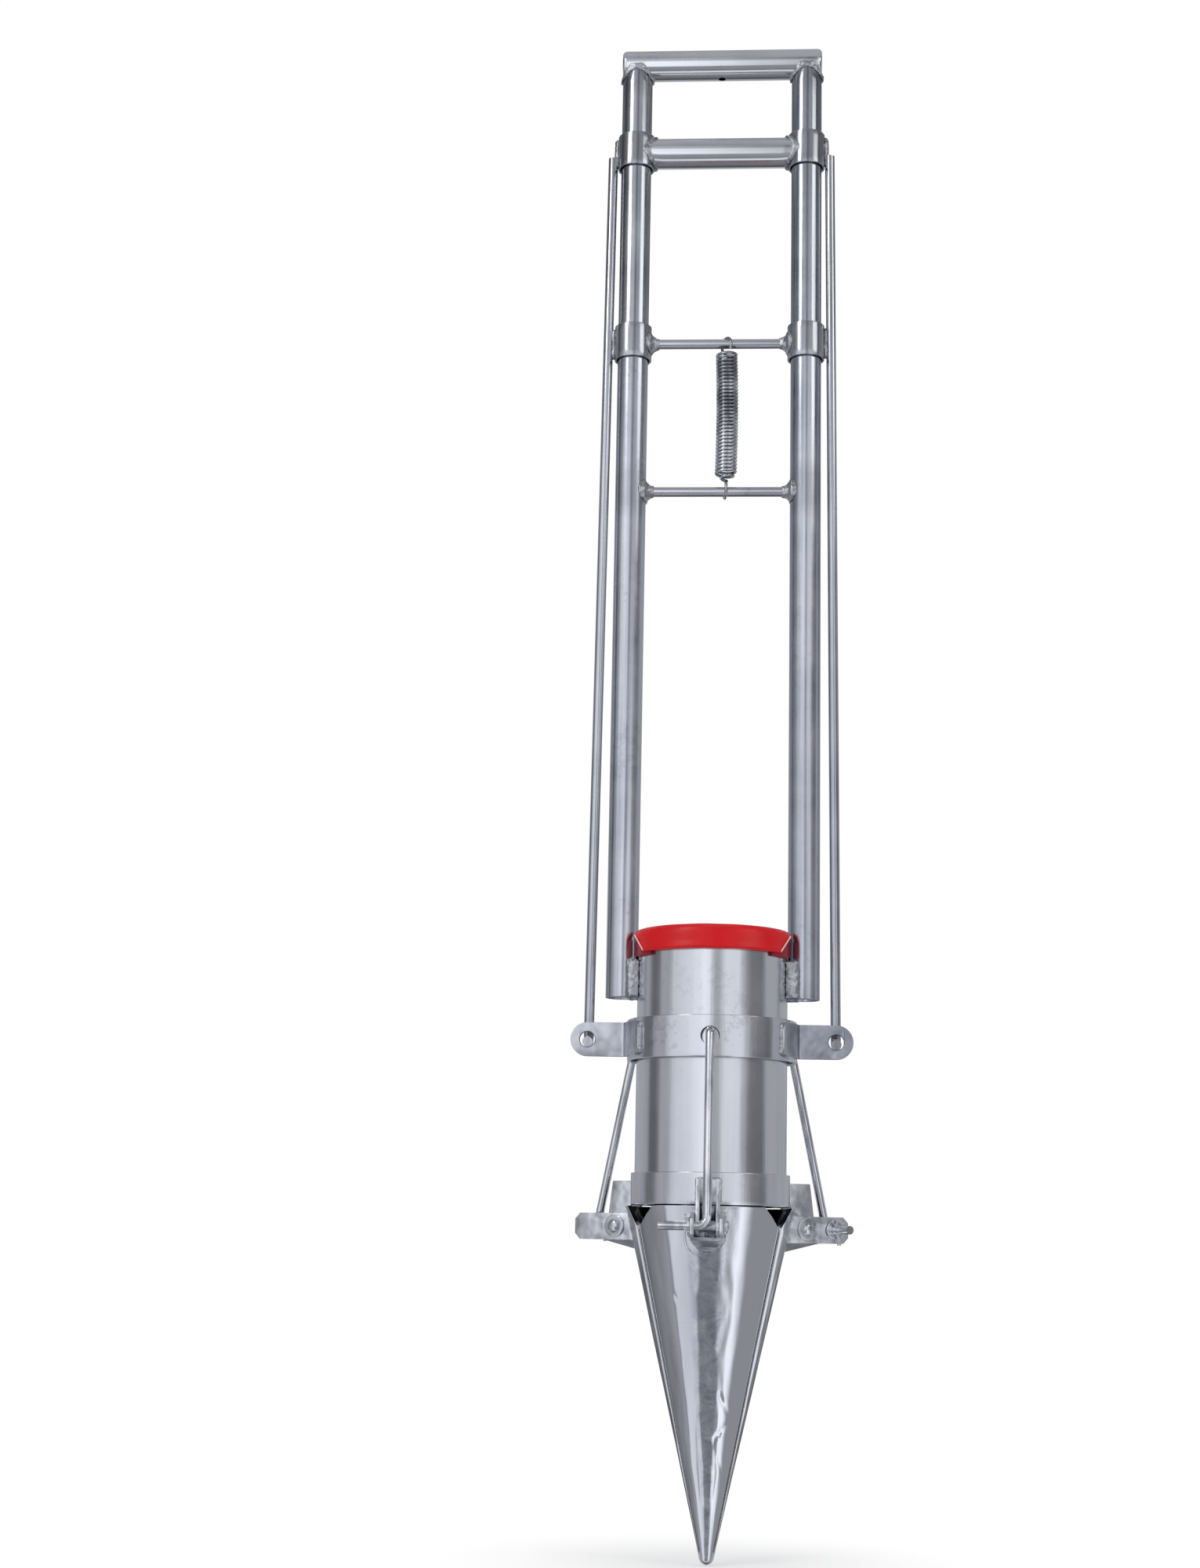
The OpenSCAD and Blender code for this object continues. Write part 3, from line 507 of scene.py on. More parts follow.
CAP_SPIGOT, CAP_SEAM, CAP_FIT, CAP_DISH = 5.0, 0.12, 0.05, 0.10
spigot = TUBE_R - TUBE_WALL - CAP_FIT
outline = [(0.0, -CAP_SPIGOT), (spigot, -CAP_SPIGOT), (spigot, 0.0), (TUBE_R - CAP_SEAM, 0.0)]
outline += [(TUBE_R - CAP_EDGE + CAP_EDGE * cos(a), CAP_EDGE * sin(a))
            for a in (radians(7 + 83 * k / 7) for k in range(8))]
outline += [((TUBE_R - CAP_EDGE) * s, CAP_EDGE - CAP_DISH * (1 - s)) for s in (0.75, 0.5, 0.25, 0.0)]
points, faces = swept(outline, 64)
caps = []
for side, sx in SIDES:
    place = Matrix.Translation((sx * run, 0, BAR_Z)) @ turned(90 * sx, "Y")
    caps.append(([place @ p for p in points], faces))
piece("handle_bar_caps", shaded(merged(as_mesh(*joined(caps)))), bar_zinc_painted_lighter, "frame", "polished_steel",
      "handle_end_caps")


# Barrel. A 1.5 mm sheet rolled to an 89 mm tube and polished. The bulb drops through it.
# A rolled sheet is never quite round, so its wall wanders by a tenth of a millimetre or so.
BARREL_R, BARREL_WALL = 44.5, 1.5
BARREL_FOOT, RIM_Z = 200.5, 358.0


def wandered(points, deep, turns, rise, seed):
    """Points round the barrel's axis, moved in or out by slow waves: turns round it and rise up it."""
    for p in points:
        r = hypot(p.x, p.y)
        if r > 1e-6:
            where = Vector((p.x / r * turns, p.y / r * turns + seed, p.z * rise))
            step = deep * noise.noise(where) / r
            p.x, p.y = p.x * (1 + step), p.y * (1 + step)
    return points


barrel_sheet = metal("polished_barrel", (0.80, 0.81, 0.83), (0.62, 0.635, 0.67), 0.15, (50, 50, 1.2),
                     cloud=18.0, spots=0.1, brushed=0.06)
points, faces = swept(wall(BARREL_R - BARREL_WALL, BARREL_R, BARREL_FOOT, RIM_Z, 0.4, 4.0), 160)
mesh = shaded(as_mesh(wandered(points, deep=0.22, turns=1.6, rise=0.014, seed=4.0), faces))
piece("barrel_tube", mesh, barrel_sheet, "frame", "brushed_sheet", "barrel")


# Band round the barrel's foot. A strip rolled round and welded on: it stiffens the edge and
# carries the three hinge brackets.
COLLAR_R, COLLAR_TOP = 46.5, 219.0
band_sheet = metal("polished_band", (0.78, 0.79, 0.82), (0.58, 0.595, 0.63), 0.17, (50, 50, 3),
                   cloud=26.0, spots=0.15, brushed=0.08)
points, faces = swept(wall(BARREL_R, COLLAR_R, BARREL_FOOT, COLLAR_TOP, 0.45, 3.0), 160)
mesh = shaded(as_mesh(wandered(points, deep=0.16, turns=2.2, rise=0.03, seed=9.0), faces))
piece("foot_band", mesh, band_sheet, "frame", "brushed_sheet", "lower_collar")


# Red edging. Soft vinyl channel pushed over the front of the rim, so that a hand meets no bare
# edge. Its ends are cut aslant, and a tongue of the same strip is tucked behind each. The tongue's
# darker red is painted shade, and a pale line along each cut is a painted highlight.
TRIM_R, TRIM_W = 43.75, 10.5
TRIM_LOW, TRIM_TOP = 346.5, 361.0
TRIM_TURN, TRIM_LOW_TURN = radians(79), radians(55)
SLOT_HALF = 0.8
LIP = 0.7


def growing_tree(name, *given):
    """An empty tree of geometry nodes with named inputs, and the sockets that hold them."""
    tree = bpy.data.node_groups.new(name, "GeometryNodeTree")
    for label, kind in (("Run", "Geometry"), *given):
        tree.interface.new_socket(name=label, in_out="INPUT", socket_type="NodeSocket" + kind)
    tree.interface.new_socket(name="Grown", in_out="OUTPUT", socket_type="NodeSocketGeometry")
    sockets = add(tree, "NodeGroupInput").outputs
    return tree, sockets, add(tree, "GeometryNodeMeshToCurve", {0: sockets["Run"]}).outputs[0]


def closed_tree(tree, shape):
    """The tree with its end on, and every instance made real."""
    real = add(tree, "GeometryNodeRealizeInstances", {0: shape})
    add(tree, "NodeGroupOutput", {0: real.outputs[0]})
    return tree


def wire_tree():
    """Geometry nodes: a round wire drawn along a run of points, with closed ends."""
    tree, given, run = growing_tree("drawn_wire", ("Wire radius", "Float"), ("Wire sides", "Int"))
    ring = add(tree, "GeometryNodeCurvePrimitiveCircle", {"Resolution": given["Wire sides"],
                                                          "Radius": given["Wire radius"]})
    wire = add(tree, "GeometryNodeCurveToMesh", {"Curve": run, "Profile Curve": ring.outputs[0],
                                                 "Fill Caps": True})
    return closed_tree(tree, wire.outputs[0])


def grown(tree, points, **inputs):
    """What a tree of geometry nodes makes along a run of points, with its named inputs set."""
    run = bpy.data.meshes.new("run")
    run.from_pydata([Vector(p) * MM for p in points], [(k, k + 1) for k in range(len(points) - 1)], [])
    names = {item.name: item.identifier for item in tree.interface.items_tree if item.in_out == "INPUT"}
    settings = {names[key.replace("_", " ").capitalize()]: value for key, value in inputs.items()}
    return worked(run, ("NODES", {"node_group": tree, **settings}))


def drawn(points, radius, sides):
    """A round wire along a run of points."""
    return grown(drawn_wire, points, wire_radius=radius * MM, wire_sides=sides)


def vinyl(name, deep, full):
    """Glossy vinyl, with faint wrinkles and a paler bloom in patches."""
    made = bpy.data.materials.new(name)
    tree = emptied(made)
    place = place_on(tree)
    patch = noisy(tree, place, 55.0, 5.0, 0.6)
    lines = noisy(tree, stretched(tree, place, (90, 90, 420)), 1.0, 3.0)
    skinned(tree, mixed(tree, patch, (*deep, 1), (*full, 1)), ranged(tree, patch, 0.0, 1.0, 0.2, 0.42),
            bumped(tree, lines, 0.18, 0.0006), **{"Specular IOR Level": 0.3})
    return made


red_vinyl = vinyl("red_vinyl", (0.52, 0.002, 0.004), (0.68, 0.004, 0.008))
# The tongue is the same red vinyl darkened: painted shade behind the channel's ends.
tongue_vinyl_painted_shade = vinyl("red_vinyl_painted_shade", (0.16, 0.002, 0.012), (0.34, 0.004, 0.022))
out_r = TRIM_R + TRIM_W / 2
arch_z = TRIM_TOP - TRIM_W / 2
half = [(TRIM_W / 2 - LIP, 3.2), (TRIM_W / 2, 1.6), (TRIM_W / 2 - 0.2, 0.5), (TRIM_W / 2 - 1.0, 0.0),
        (SLOT_HALF + 0.5, 0.0), (SLOT_HALF, 0.6), (SLOT_HALF, RIM_Z + 0.1 - TRIM_LOW)]
channel = [(TRIM_R + x, TRIM_LOW + z) for x, z in half]
channel += [(TRIM_R - x, TRIM_LOW + z) for x, z in reversed(half)]
channel += [(TRIM_R + (TRIM_W / 2 - LIP * abs(cos(a))) * cos(a), arch_z + TRIM_W / 2 * sin(a))
            for a in (pi - pi * k / 14 for k in range(15))]


def slant(r, z):
    """How far round the channel goes at this height: its end is cut in a slanting plane."""
    share = min(max((z - TRIM_LOW) / (TRIM_TOP - TRIM_LOW), 0), 1)
    side = out_r * (sin(TRIM_LOW_TURN) + share * (sin(TRIM_TURN) - sin(TRIM_LOW_TURN)))
    return min(TRIM_TURN, asin(side / r)) if side < r else TRIM_TURN


points, faces = swept(ruled(channel, 2.5), 120, slant)
for p in points:
    p.z += 0.12 * noise.noise(Vector((p.x * 0.09, p.y * 0.09, 3.0)))
piece("rim_channel", shaded(as_mesh(points, faces), 50), red_vinyl, "frame", "red_edging", "rim_trim")

TONGUE_LOW, TONGUE_HIGH, TONGUE_T = 344.5, 356.0, 2.1
TONGUE_MID, TONGUE_HALF = radians(65), radians(15)
TONGUE_CURL = 1.3
TONGUE_IN, TONGUE_OUT = BARREL_R + 0.1, BARREL_R + TONGUE_T
for side, sx in SIDES:
    section = rounded([(TONGUE_IN, TONGUE_LOW), (TONGUE_OUT, TONGUE_LOW), (TONGUE_OUT, TONGUE_HIGH),
                       (TONGUE_IN, TONGUE_HIGH)], 0.7)
    points, faces = swept(ruled(section, 1.5), 24, lambda r, z: TONGUE_HALF, sx * TONGUE_MID)
    for p in points:
        away = max(0, abs(atan2(p.x, -p.y)) - TONGUE_MID) / TONGUE_HALF
        p.z += TONGUE_CURL * away * away * (1 if p.z < TONGUE_LOW + 4 else 0)
    piece("rim_tongue_" + side, shaded(as_mesh(points, faces), 50), tongue_vinyl_painted_shade, "frame", "red_edging")

CUT_R = 0.5
cut_r = out_r - 0.1
drawn_wire = wire_tree()
# A pale line along each slanted cut: a painted highlight on the cut edge.
cut_edge_highlight_vinyl = vinyl("cut_edge_painted_highlight", (0.80, 0.36, 0.36), (0.90, 0.62, 0.60))
for side, sx in SIDES:
    steps = []
    for k in range(13):
        z = TRIM_LOW + 0.6 + (TRIM_TOP - TRIM_LOW - 4.6) * k / 12
        a = slant(out_r, z)
        steps.append((sx * cut_r * sin(a), -cut_r * cos(a), z))
    piece("rim_cut_highlight_" + side, shaded(drawn(steps, CUT_R, 10)), cut_edge_highlight_vinyl, "frame", "red_edging")


# Welds of the frame. MIG beads where the bar, the uprights, the barrel and the lower cross rod
# meet: lumpy and a little dull. They follow the CAD beads and are roughened.
WELD_STRAW = (0.46, 0.46, 0.47, 1)


def weld_skin(name, dark, light):
    """Weld metal: dull grey with straw and blue tints, pitted."""
    made = bpy.data.materials.new(name)
    tree = emptied(made)
    place = place_on(tree)
    patch = noisy(tree, place, 160.0, 6.0, 0.7)
    ramp = add(tree, "ShaderNodeValToRGB", {0: patch})
    first, last = ramp.color_ramp.elements
    first.position, first.color = 0.30, (*dark, 1)
    last.position, last.color = 0.70, (*light, 1)
    ramp.color_ramp.elements.new(0.5).color = WELD_STRAW
    skinned(tree, ramp.outputs[0], ranged(tree, patch, 0.0, 1.0, 0.22, 0.5),
            bumped(tree, noisy(tree, place, 900.0, 3.0), 0.25, 0.0005), Metallic=1.0)
    return made


def cad_copy(node):
    """A merged copy of a CAD node's mesh."""
    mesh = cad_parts[node].data.copy()
    with opened(mesh) as bm:
        bmesh.ops.remove_doubles(bm, verts=bm.verts, dist=2e-6)
    return mesh


def lumpy(mesh, voxel, deep, seed):
    """A bead's solid skinned again in small faces, with lumps of weld metal on it."""
    result = worked(mesh, ("REMESH", {"mode": "VOXEL", "voxel_size": voxel * MM}))
    with opened(result) as bm:
        bm.normal_update()
        for v in bm.verts:
            lump = noise.noise(v.co * 420 + Vector((seed, 0, 0)))
            lump += 0.5 * noise.noise(v.co * 900 + Vector((0, seed, 0)))
            v.co += v.normal * deep * lump * MM
        bmesh.ops.smooth_vert(bm, verts=bm.verts, factor=0.35,
                              use_axis_x=True, use_axis_y=True, use_axis_z=True)
    return shaded(result, 75)


weld_metal = weld_skin("frame_weld", (0.50, 0.51, 0.54), (0.84, 0.85, 0.88))
mesh = lumpy(cad_copy("frame_weld_beads"), 0.5, 0.5, 3.0)
piece("frame_welds", mesh, weld_metal, "frame", "weld_metal", "frame_weld_beads")


# Cross rods. Two 6 mm rods between the tubes: the lower one is welded to the uprights and
# anchors the spring, and the upper one, on the sliding sleeves, pulls it.
ROD_R = 3.0
SLEEVE_R, SLEEVE_WALL, SLEEVE_H = 11.5, 1.2, 22.0
rod_steel = metal("drawn_rod", (0.74, 0.75, 0.79), (0.50, 0.51, 0.55), 0.2, (4, 200, 200),
                  spots=0.2, brushed=0.05)


def coped_bar(radius, wall_t, z, post_r, steps):
    """A bar or tube across, between two posts, with each end hollowed to fit its post."""
    if wall_t:
        section = wall(radius - wall_t, radius, -UPRIGHT_X, UPRIGHT_X, 0.1, 9.0)
    else:
        section = [(radius, UPRIGHT_X * (k / 6 - 1)) for k in range(13)]
        section = [(0.001, -UPRIGHT_X), *section, (0.001, UPRIGHT_X)]
    points, skins = swept(section, steps)
    points = [across @ p for p in points]
    for p in points:
        end = UPRIGHT_X - sqrt(max(post_r ** 2 - p.y ** 2, 0))
        p.x *= end / UPRIGHT_X
        p.z += z
    return points, skins


for name, z, post_r, body, node in (
    ("spring_anchor_cross_rod", ANCHOR_Z, TUBE_R, "frame", "spring_anchor_rod"),
    ("spring_pull_cross_rod", PULL_Z, SLEEVE_R, "slide", "spring_pull_rod"),
):
    points, faces = coped_bar(ROD_R, 0, z, post_r, 32)
    piece(name, shaded(as_mesh(points, faces)), rod_steel, body, "round_rod", node)


# Slide. The second hand bar is welded between two short sleeves that run on the uprights. Below
# it two more sleeves keep the slide straight and carry the upper cross rod.
points, faces = coped_bar(TUBE_R, TUBE_WALL, SQUEEZE_Z, SLEEVE_R, 64)
piece("squeeze_bar_tube", shaded(as_mesh(points, faces)), bar_zinc_painted_lighter, "slide", "polished_steel", "squeeze_bar")

sleeve_zinc = metal("zinc_plated_sleeve", (0.60, 0.615, 0.65), (0.43, 0.445, 0.48), 0.2, (90, 90, 5),
                    spots=0.25, heat_and_shade=(SQUEEZE_Z, PULL_Z))
for row, z in (("upper", SQUEEZE_Z), ("lower", PULL_Z)):
    for side, sx in SIDES:
        node = "%s_sleeve_%s" % (row, side)
        section = wall(SLEEVE_R - SLEEVE_WALL, SLEEVE_R, z - SLEEVE_H / 2, z + SLEEVE_H / 2, 0.35, 4.0)
        points, faces = swept(section, 72)
        points = [p + Vector((sx * UPRIGHT_X, 0, 0)) for p in points]
        piece(node + "_tube", shaded(as_mesh(points, faces)), sleeve_zinc, "slide", "polished_steel", node)

slide_weld = weld_skin("slide_weld", (0.18, 0.19, 0.22), (0.74, 0.76, 0.80))
mesh = lumpy(cad_copy("slide_weld_beads"), 0.5, 0.4, 11.0)
piece("slide_welds", mesh, slide_weld, "slide", "weld_metal", "slide_weld_beads")


# Side rods. A 6 mm rod down each side is welded to both of its sleeves, leans out to the ear
# on the lift ring, and hooks forward through the ear's hole.
def bend(corner, before, after, radius, steps=8):
    """The points of a bend of a centre line at a corner."""
    corner, before, after = Vector(corner), Vector(before), Vector(after)
    u, v = (before - corner).normalized(), (after - corner).normalized()
    half = u.angle(v) / 2
    back = radius / tan(half)
    middle = corner + (u + v).normalized() * (radius / sin(half))
    a, b = corner + u * back - middle, corner + v * back - middle
    turn = a.rotation_difference(b)
    return [middle + Quaternion().slerp(turn, k / steps) @ a for k in range(steps + 1)]


EAR_X, RING_MID = 73.0, 296.0
SIDE_TOP_X, SIDE_TOP_Z = 68.7, 857.0
SIDE_FOOT_Z, SIDE_BEND, SIDE_TAIL_Y = 294.6, 4.5, -11.6
# The heat tint at the foot is painted shade on the hook's end in the ear's hole; no weld is there.
side_steel = metal("side_rod", (0.64, 0.645, 0.67), (0.42, 0.43, 0.46), 0.16, (200, 200, 3),
                   spots=0.10, brushed=0.02, heat_and_shade=(SIDE_FOOT_Z,))
for side, sx in SIDES:
    foot = Vector((sx * EAR_X, 0, SIDE_FOOT_Z))
    top = Vector((sx * SIDE_TOP_X, 0, SIDE_TOP_Z))
    tail = Vector((sx * EAR_X, SIDE_TAIL_Y, SIDE_FOOT_Z))
    run = [top] + bend(foot, top, tail, SIDE_BEND) + [tail]
    mesh = drawn(divided(run, 25.0), ROD_R, 24)
    piece("side_rod_" + side, shaded(mesh), side_steel, "slide", "round_rod", "pull_rod_" + side)


# Lift ring. A loose band round the barrel that the side rods raise. Each of its three holes
# takes the upper hook of a link.
RING_R, RING_WALL, RING_LOW, RING_HIGH = 50.0, 2.2, 284.0, 308.0
RING_HOLE_R = 5.5
ring_sheet = metal("polished_ring", (0.78, 0.79, 0.82), (0.60, 0.615, 0.65), 0.16, (50, 50, 2.5),
                   cloud=24.0, spots=0.2, brushed=0.08)
points, faces = swept(wall(RING_R - RING_WALL, RING_R, RING_LOW, RING_HIGH, 0.4, 3.0), 144)
mesh = shaded(as_mesh(wandered(points, deep=0.12, turns=1.8, rise=0.02, seed=17.0), faces))
holes = []
level = Matrix.Translation((0, 0, RING_MID)) @ turned(90, "X")
for turn in (0, 120, 240):
    holes.append(post(RING_HOLE_R, RING_R - 8, RING_R + 8, 40, turned(turn) @ level))
mesh = shaded(bored(mesh, *holes))
piece("lift_band", mesh, ring_sheet, "slide", "brushed_sheet", "lift_ring")


# Ears. A strip of 2.4 mm plate each side, bent so that a flange lies on the ring and is welded,
# with a rounded end and a hole for the side rod's hook.
EAR_T, EAR_H, EAR_Y, EAR_HOLE_R = 2.4, 20.0, 10.2, 4.5
FLANGE_END = radians(-36)
EAR_BEND = 3.2
mid_r = RING_R + EAR_T / 2
bend_x = sqrt((mid_r + EAR_BEND) ** 2 - (EAR_Y + EAR_BEND) ** 2)
bend_turn = atan2(-(EAR_Y + EAR_BEND), bend_x)
flange_run = mid_r * (bend_turn - FLANGE_END)
arc_run = EAR_BEND * (pi / 2 + bend_turn)
hole_run = flange_run + arc_run + EAR_X - bend_x


def eased(mesh, width, segments, angle):
    """The mesh with its edges above an angle rounded."""
    return worked(mesh, ("BEVEL", {"width": width * MM, "segments": segments, "limit_method": "ANGLE",
                                   "angle_limit": radians(angle)}))


def on_ear(u):
    """Where the ear's strip is after this length of it, and which way its outer face looks."""
    if u < flange_run:
        a = FLANGE_END + u / mid_r
        out = polar(1, a)
        return out * mid_r, out
    if u < flange_run + arc_run:
        a = bend_turn - (u - flange_run) / EAR_BEND
        out = polar(1, a)
        return Vector((bend_x, -EAR_Y - EAR_BEND, 0)) - out * EAR_BEND, out
    return Vector((bend_x + u - flange_run - arc_run, -EAR_Y, 0)), Vector((0, -1, 0))


ear_plate = metal("ear_plate", (0.62, 0.635, 0.67), (0.34, 0.355, 0.40), 0.34, (40, 40, 40), cloud=60.0,
                  spots=0.15, brushed=0.1, dents=0.5)
# A near-black ring round each ear's hole: painted shade in the hole where the rod's hook sits.
HOLE_SHADE_FROM, HOLE_SHADE_TO, HOLE_SHADE_SHARE, HOLE_SHADE_TONE = 0.0051, 0.0046, 0.85, (0.05, 0.05, 0.06, 1)
tree = ear_plate.node_tree
skin = next(n for n in tree.nodes if n.type == "BSDF_PRINCIPLED")
place = vectors(tree, "ABSOLUTE", place_on(tree))
off = vectors(tree, "SUBTRACT", place, (EAR_X * MM, 0, RING_MID * MM))
off = vectors(tree, "LENGTH", vectors(tree, "MULTIPLY", off, (1, 0, 1)))
hole_shade = ranged(tree, off, HOLE_SHADE_FROM, HOLE_SHADE_TO, 0.0, HOLE_SHADE_SHARE)
hole_shade = mixed(tree, hole_shade, skin.inputs["Base Color"].links[0].from_socket, HOLE_SHADE_TONE)
tree.links.new(hole_shade, skin.inputs["Base Color"])
FLANGE_ROUND = 5.0
columns = [(FLANGE_ROUND * (1 - cos(a)), EAR_H / 2 - FLANGE_ROUND + FLANGE_ROUND * sin(a))
           for a in (pi / 2 * k / 6 for k in range(7))]
columns += [(FLANGE_ROUND + (hole_run - FLANGE_ROUND) * k / 60, EAR_H / 2) for k in range(1, 60)]
columns += [(hole_run + EAR_H / 2 * sin(a), EAR_H / 2 * cos(a))
            for a in (radians(86) * k / 16 for k in range(17))]
points, faces = [], []
for u, half in columns:
    points += [(u, w * EAR_T / 2, v * half) for w, v in ((-1, -1), (1, -1), (1, 1), (-1, 1))]
for i in range(len(columns) - 1):
    faces += [(4 * i + k, 4 * i + (k + 1) % 4, 4 * i + 4 + (k + 1) % 4, 4 * i + 4 + k) for k in range(4)]
faces += [(0, 1, 2, 3), tuple(4 * len(columns) - 4 + k for k in range(4))]
flat = shaded(as_mesh(points, faces))
hole_place = Matrix.Translation((hole_run, 0, 0)) @ turned(90, "X")
flat = bored(flat, post(EAR_HOLE_R, -2 * EAR_T, 2 * EAR_T, 36, hole_place))
flat = eased(flat, 1.0, 4, 50)
for side, sx in SIDES:
    mesh = flat.copy()
    for v in mesh.vertices:
        middle, out = on_ear(v.co.x / MM)
        spot = middle + out * (-v.co.y / MM)
        v.co = Vector((sx * spot.x, spot.y, RING_MID + v.co.z / MM)) * MM
    piece("ear_" + side, shaded(mesh), ear_plate, "slide", "brushed_sheet", "ring_ear_" + side)


def seam_tree():
    """Geometry nodes: a weld bead along a run of points, as overlapping ripples of varied size."""
    tree, given, run = growing_tree("weld_seam", ("Bead radius", "Float"), ("Ripple", "Float"),
                                    ("Seed", "Int"))
    spots = add(tree, "GeometryNodeCurveToPoints", {"Curve": run, "Length": given["Ripple"]},
                mode="LENGTH").outputs
    drop = add(tree, "GeometryNodeMeshIcoSphere", {"Radius": 1.0, "Subdivisions": 3})
    size = add(tree, "FunctionNodeRandomValue", {2: 0.82, 3: 1.15, "Seed": given["Seed"]}, data_type="FLOAT")
    wide = maths(tree, "MULTIPLY", size.outputs[1], given["Bead radius"])
    thin = maths(tree, "MULTIPLY", wide, 0.8)
    scale = add(tree, "ShaderNodeCombineXYZ", {0: wide, 1: wide, 2: thin})
    drops = add(tree, "GeometryNodeInstanceOnPoints", {
        "Points": spots["Points"], "Instance": drop.outputs["Mesh"], "Rotation": spots["Rotation"],
        "Scale": scale.outputs[0]})
    return closed_tree(tree, drops.outputs[0])


weld_seam = seam_tree()


def seams(name, runs, radius, ripple, seed, body):
    """Weld beads along several runs, fused into one skin, that ride on a body."""
    mesh = bpy.data.meshes.new(name)
    with opened(mesh) as bm:
        for i, points in enumerate(runs):
            bm.from_mesh(grown(weld_seam, points, bead_radius=radius * MM, ripple=ripple * MM, seed=seed + i))
    return piece(name, lumpy(mesh, 0.34, 0.12, seed), weld_metal, body, "weld_metal")


ear_runs = []
for side, sx in SIDES:
    edge = []
    for k in range(13):
        v = EAR_H / 2 * (1 - 2 * k / 12)
        a = FLANGE_END + 0.2 / mid_r
        edge.append((sx * (RING_R + 0.5) * cos(a), (RING_R + 0.5) * sin(a), RING_MID + v * 0.8))
    ear_runs.append(edge)
seams("ear_seams", ear_runs, 1.2, 1.1, 21, "slide")


# Return spring. Spring wire wound almost close, a little bowed, with a loop at each end hooked
# over its cross rod. Its foot tapers to the loop. It stretches between the frame and the slide.
SPRING_X, COIL_R, WIRE_R = 4.5, 5.95, 0.95
CURLS, LOOP_R, LOOP_SWEEP = 33.833, 5.0, 215
HEAD_LOOP_Z, FOOT_LOOP_Z = 730.78, 636.72
HEAD_SHANK, FOOT_SHANK = 5.5, 10.5
LEAVING = 30
BOW = 0.9
LOOP_TURN, FOOT_TURN = radians(35), radians(8)
TAPER_R, TAPER_DROP = 0.9, 4.6


def head_wire(loop_z, shank):
    """The wire from the coil's end up into the loop over the cross rod."""
    leave = radians(90 - LEAVING)
    start = polar(COIL_R, leave, loop_z - shank)
    ahead = start + 2.4 * Vector((-sin(leave), cos(leave), 0))
    aside = Vector((-sin(LOOP_TURN), cos(LOOP_TURN), 0))
    stop = aside * LOOP_R + Vector((0, 0, loop_z))
    below = stop - Vector((0, 0, shank * 0.6))
    wire = []
    for k in range(1, 11):
        t = k / 10
        wire.append(start * (1 - t) ** 3 + ahead * 3 * t * (1 - t) ** 2
                    + below * 3 * t * t * (1 - t) + stop * t ** 3)
    for k in range(1, 25):
        a = radians(LOOP_SWEEP * k / 24)
        wire.append(aside * (LOOP_R * cos(a)) + Vector((0, 0, loop_z + LOOP_R * sin(a))))
    return wire


coil = []
low, high = FOOT_LOOP_Z + FOOT_SHANK, HEAD_LOOP_Z - HEAD_SHANK
foot = []
for k in range(1, 31):
    t = k / 30
    a = radians(90 + LEAVING - 450 * t)
    foot.append(polar(COIL_R + (TAPER_R - COIL_R) * t, a, low - TAPER_DROP * t))
aside = Vector((-sin(FOOT_TURN), cos(FOOT_TURN), 0))
for k in range(25):
    a = radians(100 + 290 * k / 24)
    foot.append(aside * (LOOP_R * cos(a)) + Vector((0, 0, FOOT_LOOP_Z + LOOP_R * sin(a))))
foot.reverse()
for k in range(int(CURLS * 18) + 1):
    t = k / int(CURLS * 18)
    a = radians(90 + LEAVING + 360 * CURLS * t)
    coil.append(polar(COIL_R, a, low + t * (high - low)))
wire = foot + coil + head_wire(HEAD_LOOP_Z, HEAD_SHANK)
for p in wire:
    share = (p.z - FOOT_LOOP_Z) / (HEAD_LOOP_Z - FOOT_LOOP_Z)
    p.x += SPRING_X + BOW * sin(pi * min(max(share, 0), 1))
# The heat tint at the head loop's top and the foot loop's bottom is painted shade where each loop bears on
# its cross rod; the spring has no weld.
spring_steel = metal("spring_wire", (0.74, 0.75, 0.78), (0.14, 0.145, 0.16), 0.17, (60, 60, 60), cloud=90.0,
                     spots=0.3, brushed=0.05, heat_and_shade=(HEAD_LOOP_Z + LOOP_R, FOOT_LOOP_Z - LOOP_R))
mesh = shaded(drawn(wire, WIRE_R, 10), 60)
spring = piece("return_spring_wire", mesh, spring_steel, None, "spring_steel", "return_spring")
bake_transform(spring)


# Hinge brackets. Forks folded from 2.2 mm plate, one for each jaw, welded to the foot band. The
# fold is softened on a copy of the CAD fork, and the plate keeps its frosted zinc.
SETS = (("front", 0), ("right", 120), ("left", 240))
PIVOT_R, PIVOT_Z = 60.5, 188.5


def softened(node, width):
    """A copy of a CAD plate part with its folds and cut edges rounded."""
    mesh = cad_copy(node)
    with opened(mesh) as bm:
        bmesh.ops.dissolve_limit(bm, angle_limit=radians(1.0), verts=bm.verts, edges=bm.edges)
    return shaded(eased(mesh, width, 3, 40), 50)


fork_zinc = metal("frosted_plate", (0.86, 0.87, 0.90), (0.60, 0.615, 0.65), 0.28, (60, 60, 60), cloud=60.0,
                  spots=0.06, brushed=0.05, dents=0.5)
for side, turn in SETS:
    node = "hinge_bracket_" + side
    piece("hinge_fork_" + side, softened(node, 0.4), fork_zinc, "frame", "brushed_sheet", node)
FORK_HALF, FORK_LOW, FORK_HIGH, FORK_TOP = 6.8, 203.0, 215.0, 215.2
seam_r = COLLAR_R + 0.3
fork_runs = []
for side, turn in SETS:
    for x in (-FORK_HALF, FORK_HALF):
        depth = sqrt(seam_r ** 2 - x * x)
        fork_runs.append([turned(turn) @ Vector((x, -depth, FORK_LOW + (FORK_HIGH - FORK_LOW) * k / 8))
                          for k in range(9)])
    fork_runs.append([turned(turn) @ Vector((x, -sqrt(seam_r ** 2 - x * x), FORK_TOP))
                      for x in [-6 + 12 * k / 10 for k in range(11)]])
seams("fork_seams", fork_runs, 0.9, 0.9, 33, "frame")


